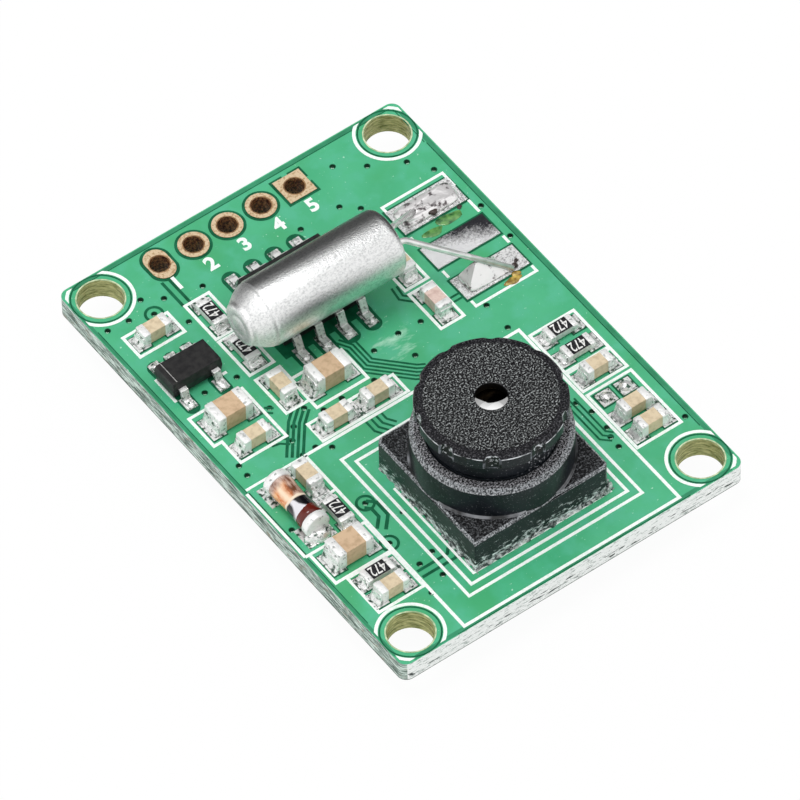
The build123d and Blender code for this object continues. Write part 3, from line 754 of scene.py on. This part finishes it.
capacitor_names = sorted(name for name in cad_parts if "capacitor_" in name and name[-1].isdigit())
resistor_names = sorted(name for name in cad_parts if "resistor_" in name and name[-1].isdigit())
for name in capacitor_names + resistor_names:
    if name.startswith("under_"):
        continue
    low, high, axis = box_of(name)
    for edge, start, stop in (
        (low[axis], -solder_reach, under_part), (high[axis], -under_part, solder_reach),
    ):
        near = low - Vector((land_aside, land_aside, 0))
        far = high + Vector((land_aside, land_aside, 0))
        near[axis] = edge + start
        far[axis] = edge + stop
        frame_line(end_lands, near.x, near.y, far.x, far.y, land_gap)
for x, y in ((7.15, -6.9), (8.3, -6.9)):
    frame_line(end_lands, x - 0.45, y - 0.45, x + 0.45, y + 0.45, land_gap)
for y, width in ((7.7, 1.7), (4.95, 1.5), (2.58, 1.45)):
    frame_line(end_lands, 5.42, y - width / 2 - 0.03, 9.18, y + width / 2 + 0.03, 0.16)
film_piece("ground_round_lands", end_lands, laminate_ground_and_shade, board_top + 0.0045, 0.004)

# Solder joints: a fillet of solder that has run up each end cap and set, lumpy
# and bright, with a dark skin of flux in its hollows.
molten = mottled(
    "molten_solder", (0.07, 0.12, 0.09, 1), (0.9, 0.9, 0.89, 1), 0.28, 0.24, 0.6, 2.5, start=0.35, end=0.45
)
roughen(clouds(molten, 0.25), 0.15, 0.42)
emboss(clouds(molten, 0.22, detail=4.0), 0.06)


def cad_copy(name):
    """A node's mesh in millimetres, with its loose triangles joined."""
    bm = bmesh.new()
    bm.from_mesh(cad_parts[name].data)
    bmesh.ops.scale(bm, verts=bm.verts, vec=(1000, 1000, 1000))
    bmesh.ops.remove_doubles(bm, verts=bm.verts, dist=1e-4)
    bmesh.ops.dissolve_limit(bm, angle_limit=math.radians(1), verts=bm.verts, edges=bm.edges)
    return bm


def lumpy(bm, cuts, uneven, seed, rounds=1):
    """Subdivides a plain solid into a lumpy one, as set solder is."""
    bmesh.ops.triangulate(bm, faces=bm.faces)
    bmesh.ops.subdivide_edges(
        bm, edges=bm.edges, cuts=cuts, use_grid_fill=True, fractal=uneven, along_normal=0.4, seed=seed
    )
    for _ in range(rounds):
        bmesh.ops.smooth_vert(
            bm, verts=bm.verts, factor=0.5, use_axis_x=True, use_axis_y=True, use_axis_z=True
        )


fillets = cad_copy("solder_joints")
lumpy(fillets, 3, 0.3, 7)
placed("solder_fillets", fillets, molten, "solder_joints", smooth=True)

# Chip capacitors: a block of stacked ceramic, tan on the large ones and paler on
# the small, with a silver cap fired on each end.
ceramics = {}
for shade, low_colour, high_colour in (
    ("large", (0.50, 0.34, 0.20, 1), (0.65, 0.46, 0.29, 1)),
    ("small", (0.57, 0.45, 0.29, 1), (0.73, 0.60, 0.41, 1)),
    ("pink", (0.62, 0.42, 0.36, 1), (0.78, 0.60, 0.53, 1)),
):
    ceramics[shade] = mottled(
        "ceramic_" + shade, low_colour, high_colour, 0.25, 0.48, detail=5.0, start=0.3, end=0.55
    )
    emboss(clouds(ceramics[shade], 0.06), 0.006)

fired_silver = mottled(
    "fired_silver", (0.36, 0.38, 0.37, 1), (0.93, 0.93, 0.92, 1), 0.2, 0.38, 0.3, start=0.3, end=0.43
)
emboss(clouds(fired_silver, 0.2, detail=4.0), 0.035)
plating = 0.03


def eased(bm, width, segments=2, sharp=30):
    """Rounds the sharp edges."""
    edges = [edge for edge in bm.edges if edge.is_manifold and edge.calc_face_angle(0) > math.radians(sharp)]
    bmesh.ops.bevel(
        bm, geom=edges, offset=width, offset_type="OFFSET", segments=segments, profile=0.5,
        affect="EDGES", clamp_overlap=True, material=-1,
    )


def dressed(piece, name, material, width, segments=2, sharp=30, body="board"):
    """A node's own shape with its edges rounded, in its place."""
    bm = cad_copy(name)
    eased(bm, width, segments, sharp)
    placed(piece, bm, material, name, body)


def brick(bm, low, high):
    made = bmesh.ops.create_cube(bm, size=1)["verts"]
    bmesh.ops.scale(bm, verts=made, vec=high - low)
    bmesh.ops.translate(bm, verts=made, vec=(low + high) / 2)


def end_caps_on(bm, name, length):
    """Two round-edged caps over the ends of a chip part, a plating's thickness proud."""
    low, high, axis = box_of(name)
    low -= Vector((plating, plating, plating))
    high += Vector((plating, plating, plating))
    inner_low, inner_high = low.copy(), high.copy()
    inner_low[axis] = high[axis] - length
    inner_high[axis] = low[axis] + length
    brick(bm, low, inner_high)
    brick(bm, inner_low, high)


large_ones = ("capacitor_2", "capacitor_5", "capacitor_11")
caps = bmesh.new()
for name in capacitor_names:
    end_caps_on(caps, name, 0.46 if name in large_ones else 0.4)
eased(caps, 0.075, 3)
placed("capacitor_caps", caps, fired_silver, "capacitor_end_caps", smooth=True)
for name in capacitor_names:
    shade = "large" if name in large_ones else "pink" if name == "capacitor_9" else "small"
    slot = "large_capacitor_ceramic" if shade == "large" else "small_capacitor_ceramic"
    dressed("ceramic_of_" + name, name, ceramics[shade], 0.03)

# Chip resistors: a white alumina plate with tinned ends. Its film is covered by
# black glaze, printed with a plain number.
white_alumina = mottled("white_alumina", (0.6, 0.63, 0.6, 1), (0.84, 0.86, 0.84, 1), 0.2, 0.5)
caps = bmesh.new()
for name in resistor_names:
    end_caps_on(caps, name, 0.3)
    dressed("plate_of_" + name, name, white_alumina, 0.025)
eased(caps, 0.05, 3)
placed("resistor_caps", caps, fired_silver, "resistor_end_caps", smooth=True)

black_glaze = mottled(
    "black_glaze", (0.010, 0.010, 0.012, 1), (0.03, 0.03, 0.034, 1), 0.12, 0.32, detail=5.0,
    specular_ior_level=0.2,
)
emboss(clouds(black_glaze, 0.1), 0.006)
dressed("glaze_coats", "resistor_glazes", black_glaze, 0.012)
glaze_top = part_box("resistor_glazes")[1][2] / mm
number_ink = mottled("number_ink", (0.62, 0.62, 0.6, 1), (0.9, 0.9, 0.88, 1), 0.08, 0.5, start=0.3, end=0.5)
for name in resistor_names:
    low, high, axis = box_of(name)
    middle = (low + high) / 2
    turned = 90 if axis else 180
    printed_text(
        "number_on_" + name, "472", middle.x, middle.y, 0.6, 0.86, number_ink, glaze_top,
        thick=0.008, weight=0.004, turn=turned,
    )

# Memory chip and regulator: black epoxy moulded round a lead frame. The bent
# leads are tinned, and soldered to their lands.
black_epoxy = mottled(
    "black_epoxy", (0.012, 0.012, 0.013, 1), (0.026, 0.025, 0.025, 1), 0.3, 0.45, detail=5.0,
    specular_ior_level=0.25,
)
emboss(clouds(black_epoxy, 0.05), 0.008)
tinned_lead = finish("tinned_lead", (0.88, 0.88, 0.87, 1), 0.26, 0.45)
streaks = clouds(tinned_lead, 0.14, detail=4.0)
tin_colour = blended(streaks, (0.40, 0.40, 0.39, 1), (0.95, 0.95, 0.94, 1), 0.33, 0.45)
# Faces that tilt away from up are painted darker, as painted shade on the leads' sides.
painted_side_shade = blended(streaks, (0.05, 0.06, 0.06, 1), (0.6, 0.6, 0.6, 1), 0.42, 0.58)
paint(tinned_lead, blended(axes_of_normal(tinned_lead)[2], painted_side_shade, tin_colour, 0.15, 0.5))
emboss(clouds(tinned_lead, 0.12), 0.02)
for name in ("memory_chip", "regulator", "processor"):
    dressed(name + "_moulding", name + "_body", black_epoxy, 0.05, 3, 12)
    dressed(name + "_legs", name + "_leads", tinned_lead, 0.025)
low, high, axis = box_of("regulator_body")
score = bmesh.new()
plate(score, low.x + 0.3, low.y + 0.12, low.x + 0.335, high.y - 0.12)
scored = mottled("scored_line", (0.2, 0.2, 0.2, 1), (0.5, 0.5, 0.48, 1), 0.1, 0.6)
film_piece("pin_one_score", score, scored, high.z - 0.002, 0.006)

# Solder on the chips' toes: a small bright bead over each foot, which the paste
# left when it melted.
toes = bmesh.new()
land_top = board_top + 0.05
for xs, y in ((chip_rows, 9.55), (chip_rows, 3.72), (regulator_back, 7.42), (regulator_front, 4.72)):
    for x in xs:
        bead = bmesh.ops.create_icosphere(toes, subdivisions=3, radius=0.2)["verts"]
        bmesh.ops.scale(toes, verts=bead, vec=(1.15, 1.7, 0.75))
        bmesh.ops.translate(toes, verts=bead, vec=(x, y, land_top + 0.02))


def cut_flat(bm, place, way):
    """Cuts a solid off at a plane, and closes it there."""
    cut_off(bm, place, way)
    bmesh.ops.holes_fill(bm, edges=[edge for edge in bm.edges if edge.is_boundary], sides=0)
    bmesh.ops.recalc_face_normals(bm, faces=bm.faces)


cut_flat(toes, (0, 0, land_top - 0.02), (0, 0, -1))
placed("solder_on_toes", toes, molten, smooth=True)

# Crystal: the quartz sits in a can drawn from nickel silver, closed at its open
# end by a glass seal. The drawing leaves a frosted nose with ridges.
can_metal = finish("can_metal", (0.84, 0.84, 0.825, 1), 0.3, 1.0)
draw_marks = clouds(can_metal, 0.09, stretch=(1.5, 1, 1), crisp=0.7)
paint(can_metal, blended(draw_marks, (0.64, 0.65, 0.65, 1), (0.90, 0.905, 0.90, 1), 0.36, 0.56))
on_nose = axes(can_metal)[0] < -4.5
feed(on_nose * 0.2 + 0.3, "Roughness")
emboss(clouds(can_metal, 0.09, crisp=0.6), 0.024)
low, high, axis = box_of("crystal_can")
can_axis = (low + high) / 2
can_r = (high.z - low.z) / 2
can_profile = [
    (0.0, 0.0), (0.0, 0.5), (0.03, 0.55), (0.0, 0.62), (0.0, 0.98), (0.05, 1.08), (0.14, 1.14),
    (0.17, 1.13), (0.3, 1.24), (0.62, 1.48), (0.95, 1.64), (1.08, 1.69), (1.13, 1.665), (1.2, 1.70),
    (1.32, can_r), (4.0, can_r), (8.3, can_r), (8.48, 1.73), (8.62, 1.66), (8.7, 1.56), (8.74, 1.46),
    (8.7, 1.38), (8.62, 1.35), (8.15, 1.35), (8.14, 0.0),
]


def spun(profile, centre, axis, steps, closed=False):
    """A line of points turned once round an axis."""
    bm = bmesh.new()
    points = [bm.verts.new(point) for point in profile]
    pairs = list(zip(points, points[1:]))
    if closed:
        pairs.append((points[-1], points[0]))
    lines = [bm.edges.new(pair) for pair in pairs]
    bmesh.ops.spin(
        bm, geom=points + lines, cent=centre, axis=axis, angle=2 * math.pi, steps=steps, use_merge=True
    )
    bmesh.ops.remove_doubles(bm, verts=bm.verts, dist=1e-4)
    bmesh.ops.recalc_face_normals(bm, faces=bm.faces)
    return bm


can = spun([(low.x + x, can_axis.y, can_axis.z + r) for x, r in can_profile], can_axis, (1, 0, 0), 72)
placed("crystal_can_drawn", can, can_metal, "crystal_can", smooth=True)

seal_glass = mottled("seal_glass", (0.03, 0.035, 0.04, 1), (0.10, 0.11, 0.12, 1), 0.3, 0.15, coat_weight=0.6)
wear("crystal_seal", seal_glass)
tinned_wire = mottled("tinned_wire", (0.75, 0.75, 0.74, 1), (0.94, 0.94, 0.93, 1), 0.3, 0.25, 0.6)
for name in ("crystal_lead_1", "crystal_lead_2"):
    placed(name + "_wire", cad_copy(name), tinned_wire, name, smooth=True)

# Hand-made joints: solder over two of the long pads, drawn up the crystal's
# leads, with burnt spots and dried flux beside them.
hand_solder = cad_copy("crystal_solder")
lumpy(hand_solder, 7, 0.12, 3, 6)
drawn_solder = mottled(
    "drawn_solder", (0.13, 0.11, 0.115, 1), (0.93, 0.91, 0.91, 1), 0.5, 0.2, 0.5, 5.0, 0.6, 0.38, 0.47
)
emboss(clouds(drawn_solder, 0.4), 0.03)
placed("hand_solder", hand_solder, drawn_solder, "crystal_solder", smooth=True)


def blob(bm, x, y, z, size, seed):
    """An uneven drop."""
    made = bmesh.ops.create_icosphere(bm, subdivisions=3, radius=1)["verts"]
    for vert in made:
        vert.co *= 1 + 0.22 * math.sin(3.1 * vert.co.x + seed) * math.cos(2.7 * vert.co.y + 2 * seed)
    bmesh.ops.scale(bm, verts=made, vec=size)
    bmesh.ops.translate(bm, verts=made, vec=(x, y, z))


def blobs(name, material, drops):
    """A piece of many drops, each given as a place, a size and a seed."""
    bm = bmesh.new()
    for x, y, z, size, seed in drops:
        blob(bm, x, y, z, size, seed)
    placed(name, bm, material, smooth=True)


burnt = mottled("burnt_flux", (0.008, 0.006, 0.006, 1), (0.07, 0.045, 0.04, 1), 0.12, 0.42, detail=5.0)
emboss(clouds(burnt, 0.1, detail=4.0), 0.04)
blobs("burnt_spots", burnt, [
    (7.25, 7.12, 1.42, (0.26, 0.2, 0.12), 1.0), (7.55, 7.4, 1.46, (0.13, 0.2, 0.08), 2.0),
    (8.42, 2.12, 1.36, (0.2, 0.14, 0.12), 3.0), (8.7, 2.35, 1.32, (0.12, 0.1, 0.06), 4.0),
    (6.95, 3.45, 1.24, (0.2, 0.1, 0.05), 5.0), (8.55, 6.7, 1.22, (0.14, 0.12, 0.04), 6.0),
])
dried_flux = mottled(
    "dried_flux", (0.22, 0.13, 0.02, 1), (0.72, 0.52, 0.12, 1), 0.3, 0.12, detail=4.0, coat_weight=0.5
)
blobs("flux_drips", dried_flux, [
    (7.9, 1.5, 1.22, (0.45, 0.2, 0.07), 1.4), (8.25, 1.75, 1.24, (0.25, 0.16, 0.07), 2.4),
])
green_flux = mottled(
    "green_flux", (0.02, 0.11, 0.03, 1), (0.16, 0.38, 0.10, 1), 0.35, 0.1, detail=4.0, coat_weight=0.6
)
blobs("flux_pool", green_flux, [
    (7.75, 6.45, 1.2, (0.75, 0.32, 0.05), 0.4), (6.6, 6.2, 1.2, (0.55, 0.25, 0.03), 0.9),
])

# Diode: a silicon die between two tinned slugs, sealed in a glass sleeve that is
# tinted orange, with a black band painted at the end where the cathode is.
diode_glass = finish(
    "diode_glass", (0.8, 0.22, 0.04, 1), 0.14, specular_ior_level=0.3, coat_weight=0.5, coat_roughness=0.06
)
across, along = axes(diode_glass)[:2]
warp = clouds(diode_glass, 0.7)
along = along + warp * 0.3
across = across + 8.72 + warp * 0.4
aside = abs(across)
swirl = clouds(diode_glass, 0.3, detail=5.0, stretch=(1, 2.5, 1), crisp=0.6)
amber = blended(swirl, (0.62, 0.15, 0.02, 1), (0.90, 0.50, 0.24, 1), 0.4, 0.6)
# The sleeve's right side is painted brown as painted shade.
shaded_brown = blended(swirl, (0.16, 0.06, 0.03, 1), (0.62, 0.42, 0.33, 1), 0.42, 0.6)
tint_and_painted_light = blended(across, amber, shaded_brown, 0.12, 0.34)
# A cream streak down the middle is a painted highlight.
tint_and_painted_light = blended(aside, (0.92, 0.72, 0.52, 1), tint_and_painted_light, 0.04, 0.2)
slug_inside = blended(swirl, (0.24, 0.12, 0.08, 1), (0.66, 0.48, 0.40, 1), 0.4, 0.6)
tint_and_painted_light = blended(along, tint_and_painted_light, slug_inside, -2.6, -2.35)
glass_colour_and_light = chosen(along < -3.5, tint_and_painted_light, (0.004, 0.003, 0.005, 1))
glass_colour_and_light = chosen(along < -4.23, glass_colour_and_light, (0.12, 0.012, 0.006, 1))
# A pale patch on the black band is a painted glint.
glint = aside + along * 0.32 + 1.36
off_band = (along > -3.52) | (along < -4.27)
glass_colour_and_light = blended(glint | off_band, (0.78, 0.76, 0.80, 1), glass_colour_and_light, 0.26, 0.36)
glass_colour_and_light = blended(abs(along + 3.45), (0.88, 0.74, 0.58, 1), glass_colour_and_light, 0.04, 0.1)
paint(diode_glass, glass_colour_and_light)
emboss(clouds(diode_glass, 0.5, detail=2.0), 0.02)
low, high, axis = box_of("diode_glass")
diode_axis = (low + high) / 2
sleeve_r = (high.z - low.z) / 2
sleeve_bore = 0.44
half = (high.y - low.y) / 2
sleeve_profile = [
    (-half, sleeve_r), (-half * 0.85, sleeve_r), (-half * 0.5, sleeve_r - 0.04), (0.0, sleeve_r - 0.06),
]
sleeve_profile += [(-y, r) for y, r in sleeve_profile[2::-1]]
sleeve_profile += [(half, sleeve_bore), (-half, sleeve_bore)]
sleeve_points = [(diode_axis.x, diode_axis.y + y, diode_axis.z + r) for y, r in sleeve_profile]
sleeve = spun(sleeve_points, diode_axis, (0, 1, 0), 48, closed=True)
placed("diode_sleeve", sleeve, diode_glass, "diode_glass", smooth=True)
slugs = cad_copy("diode_end_caps")
eased(slugs, 0.09, 3, 60)
placed("diode_slugs", slugs, fired_silver, "diode_end_caps", smooth=True)
low, high, axis = box_of("diode_end_caps")
banks = bmesh.new()
for y in (high.y + 0.05, low.y - 0.05):
    blob(banks, (low.x + high.x) / 2, y, land_top, (0.72, 0.38, 0.5), y)
cut_flat(banks, (0, 0, board_top + 0.02), (0, 0, -1))
placed("diode_solder", banks, molten, smooth=True)
silicon = mottled("silicon_die", (0.08, 0.09, 0.12, 1), (0.18, 0.19, 0.22, 1), 0.2, 0.2, 0.4)
for name in ("diode_die", "image_sensor"):
    wear(name, silicon)

# Lens holder: black glass-filled nylon, moulded, glued to the board over the
# sensor. Its tops are spark-grained, and its walls smooth.
lens_x, lens_y = 0.0, -7.5


def black_nylon(name):
    """Coarse sparkling grain on level faces, smooth with a fine dust of specks on the walls."""
    nylon = finish(name, (0.018, 0.019, 0.02, 1), 0.33, specular_ior_level=0.18)
    grain = clouds(nylon, 0.085, detail=2.5, crisp=0.65)
    specks = clouds(nylon, 0.09, detail=2.0)
    plain_wall = blended(clouds(nylon, 1.3, detail=4.0), (0.003, 0.005, 0.007, 1), (0.010, 0.013, 0.017, 1))
    plain_wall = blended(specks, plain_wall, (0.16, 0.17, 0.18, 1), 0.64, 0.74)
    facing = axes_of_normal(nylon)
    on_top = facing[2] > 0.93
    return nylon, axes(nylon), facing, grain, plain_wall, on_top, grain * (on_top * 0.95 + 0.05)


nylon_black = (0.002, 0.002, 0.003, 1)
on_edge = 0.25
grain_depth = 0.085
holder_nylon, spot, facing, grain, wall, on_top, relief = black_nylon("holder_nylon")
# Light flecks in the grain of the level faces are painted sparkle highlights, brighter on the boss than on
# the foot.
boss_sparkle = blended(grain, nylon_black, (0.72, 0.72, 0.76, 1), 0.46, 0.66)
foot_sparkle = blended(grain, nylon_black, (0.17, 0.18, 0.19, 1), 0.48, 0.7)
smear = clouds(holder_nylon, 0.24, detail=6.0, stretch=(1.7, 1.7, 0.9), crisp=0.7)
smear = smear - spot[2] * 0.16 - facing[1] * 0.1 - facing[0] * 0.1
wall = blended(smear, wall, (0.86, 0.93, 0.94, 1), 0.32, 0.47)
# Rounded edges that tilt upwards are painted light grey: partly wear, partly a painted highlight.
worn_edge_highlight = blended(grain, (0.03, 0.033, 0.036, 1), (0.46, 0.48, 0.5, 1), 0.42, 0.62)
wall = chosen(facing[2] > on_edge, wall, worn_edge_highlight)
above_foot = 4.5
grain_sparkle = chosen(spot[2] > above_foot, foot_sparkle, boss_sparkle)
paint(holder_nylon, chosen(on_top, wall, grain_sparkle))
emboss(relief, grain_depth)
dressed("lens_holder_moulding", "lens_holder", holder_nylon, 0.07, 3)

boss_r = 3.92
foot_top = board_top + 2.0
foot_half = 3.95
fillet_profile = [
    (-0.03, -0.03), (0.11, -0.03), (0.11, 0.004), (0.05, 0.02), (0.02, 0.05), (0.0, 0.1), (-0.03, 0.1),
]
centre = Vector((lens_x, lens_y, 0))
fillet_points = [(lens_x + boss_r + r, lens_y, foot_top + z) for r, z in fillet_profile]
boss_fillet = spun(fillet_points, centre, (0, 0, 1), 96, closed=True)
for way in ((1, 0, 0), (-1, 0, 0), (0, 1, 0), (0, -1, 0)):
    cut_flat(boss_fillet, centre + Vector(way) * (foot_half - 0.13), way)
# The fillet is painted lighter in patches and towards the front, as a painted highlight in the curve at the
# boss's foot.
fillet_highlight = finish("painted_fillet_highlight", (0.2, 0.2, 0.21, 1), 0.3)
fillet_highlight_share = clouds(fillet_highlight, 1.6) - axes_of_normal(fillet_highlight)[1] * 0.16
paint(fillet_highlight, blended(fillet_highlight_share, (0.010, 0.011, 0.012, 1), (0.28, 0.29, 0.31, 1), 0.5, 0.68))
placed("boss_fillet", boss_fillet, fillet_highlight, smooth=True)

# Glue: a thin milky bead that was pressed out round the holder's foot, and is
# smeared up its walls on the side by the board's edge.
glue = mottled(
    "set_glue", (0.02, 0.04, 0.035, 1), (0.75, 0.8, 0.78, 1), 0.3, 0.3, detail=6.0, crisp=0.7,
    start=0.42, end=0.62,
)
emboss(clouds(glue, 0.15, detail=4.0), 0.03)
bead = bmesh.new()
for i in range(26):
    run = -3.8 + 0.31 * i
    swell = 0.5 + 0.5 * math.sin(3.7 * i)
    blob(bead, run, lens_y - foot_half, board_top, (0.26, 0.05 + 0.09 * swell, 0.06 + 0.14 * swell), i)
    if i % 2:
        blob(bead, -foot_half, lens_y - run, board_top, (0.04 + 0.07 * swell, 0.24, 0.05 + 0.08 * swell), i)
corner_glue = [(3.95, -11.35, 0.5), (3.98, -11.0, 0.35), (3.7, -11.45, 0.4), (3.3, -11.46, 0.3)]
for i, (x, y, tall) in enumerate(corner_glue):
    blob(bead, x, y, board_top, (0.22, 0.12, tall), i + 0.5)
placed("glue_bead", bead, glue, smooth=True)

# Lens barrel: the same black nylon, turned by its notched head to focus, and
# threaded below it. It holds the glass, and lets light in by a small hole.
barrel_nylon, spot, facing, grain, wall, on_top, relief = black_nylon("barrel_nylon")
height = spot[2]
from_axis_x = spot[0] - lens_x
from_axis_y = spot[1] - lens_y
from_axis = length_of(from_axis_x, from_axis_y)
barrel_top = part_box("lens_barrel")[1][2] / mm
lip_height = barrel_top - 0.2
step_height = 6.06
notch_spacing = math.pi / 5
thread_top = 5.3
thread_pitch = 0.35
# Painted highlights on the barrel: a light line along the head's lip, light lines at the notch edges and at
# the step, light marks high in the notches, and sparkle flecks on the grained faces.
lip_shine = blended(clouds(barrel_nylon, 0.5, detail=4.0), nylon_black, (0.78, 0.80, 0.84, 1), 0.38, 0.58)
wall = chosen(abs(height - lip_height) < 0.045, wall, lip_shine)
turned = from_axis_y.maths("ARCTAN2", from_axis_x)
from_notch = (turned - math.pi / 2).maths("PINGPONG", notch_spacing / 2)
at_notch_edge = (abs(from_notch - 0.105) < 0.016) * (height > 6.15)
edge_highlights = blended(clouds(barrel_nylon, 0.3, detail=4.0), nylon_black, (0.20, 0.21, 0.24, 1), 0.42, 0.64)
wall = chosen(at_notch_edge, wall, edge_highlights)
wall = chosen(abs(height - step_height) < 0.035, wall, edge_highlights)
# Walls below the head that face right and to the front get light specks.
to_right = facing[0] * 0.8 - facing[1] * 0.6
on_right_lower_wall = (to_right > 0.5) * (height < 6.2)
right_wall_specks = blended(clouds(barrel_nylon, 0.12, detail=4.0), wall, (0.62, 0.64, 0.68, 1), 0.6, 0.68)
wall = chosen(on_right_lower_wall, wall, right_wall_specks)
in_notch = (from_axis < 3.6) * (from_axis > 3.3) * (height > 6.3)
notch_highlights = height * 0.12 + clouds(barrel_nylon, 0.2, detail=4.0)
notch_highlights = blended(notch_highlights, nylon_black, (0.66, 0.68, 0.72, 1), 1.385, 1.48)
wall = chosen(in_notch, wall, notch_highlights)
rim_sparkle = blended(grain, (0.004, 0.004, 0.006, 1), (0.12, 0.12, 0.13, 1), 0.5, 0.7)
wall = chosen(facing[2] > on_edge, wall, rim_sparkle)
grain_sparkle = blended(grain, nylon_black, (0.50, 0.53, 0.53, 1), 0.51, 0.69)
on_disc = from_axis < 3.22
wall = chosen(on_top, wall, chosen(on_disc, rim_sparkle, grain_sparkle))
in_hole = (from_axis < 1.2) * (facing[2] < 0.9)
paint(barrel_nylon, chosen(in_hole, wall, (0.001, 0.001, 0.001, 1)))
turns = (height * (2 * math.pi / thread_pitch)).maths("SINE") * (height < thread_top)
emboss(turns * 0.35 + relief, grain_depth)
dressed(
    "lens_barrel_moulding", "lens_barrel", barrel_nylon, 0.035, 2, 25, body="lens_barrel"
)

# Glass: the front element behind the hole has a mirror-like finish, with a white
# half-moon of painted reflection on its near side that also glows a little. The rest of
# the stack, the filter and the sensor's cover are plain optical glass.
painted_reflection_glass = finish("painted_reflection_glass", (0.9, 0.9, 0.9, 1), 0.05, 0.9)
spot = axes(painted_reflection_glass)
from_axis_x = spot[0] - lens_x
from_axis_y = spot[1] - lens_y
sideways = backward_of(from_axis_y * -1.0, from_axis_x)
backward = backward_of(from_axis_x, from_axis_y) - sideways * sideways * 0.7
backward = backward + clouds(painted_reflection_glass, 0.4) * 0.16
coffee = clouds(painted_reflection_glass, 0.5, stretch=(2, 1, 1))
deep = blended(coffee, (0.002, 0.002, 0.002, 1), (0.16, 0.11, 0.06, 1), 0.5, 0.75)
# The near side is painted white and made to glow a little, as a painted reflection; the rest is near-black
# with brown streaks.
paint(painted_reflection_glass, blended(backward, (0.95, 0.95, 0.95, 1), deep, 0.16, 0.22))
feed((backward < 0.19) * 0.35, "Emission Strength")
shader_of(painted_reflection_glass).inputs["Emission Color"].default_value = (1, 1, 1, 1)
clear_glass = mottled(
    "clear_glass", (0.88, 0.94, 0.94, 1), (0.94, 0.97, 0.97, 1), 3.0, 0.02, transmission_weight=1.0
)
filter_glass = mottled(
    "filter_glass", (0.45, 0.76, 0.72, 1), (0.55, 0.84, 0.8, 1), 3.0, 0.02, transmission_weight=1.0
)
wear("front_lens", painted_reflection_glass)
wear("rear_lens", clear_glass)
wear("sensor_cover_glass", clear_glass)
wear("infrared_filter", filter_glass)
wear("lens_spacer", black_epoxy)
wear("lens_retaining_ring", black_epoxy)
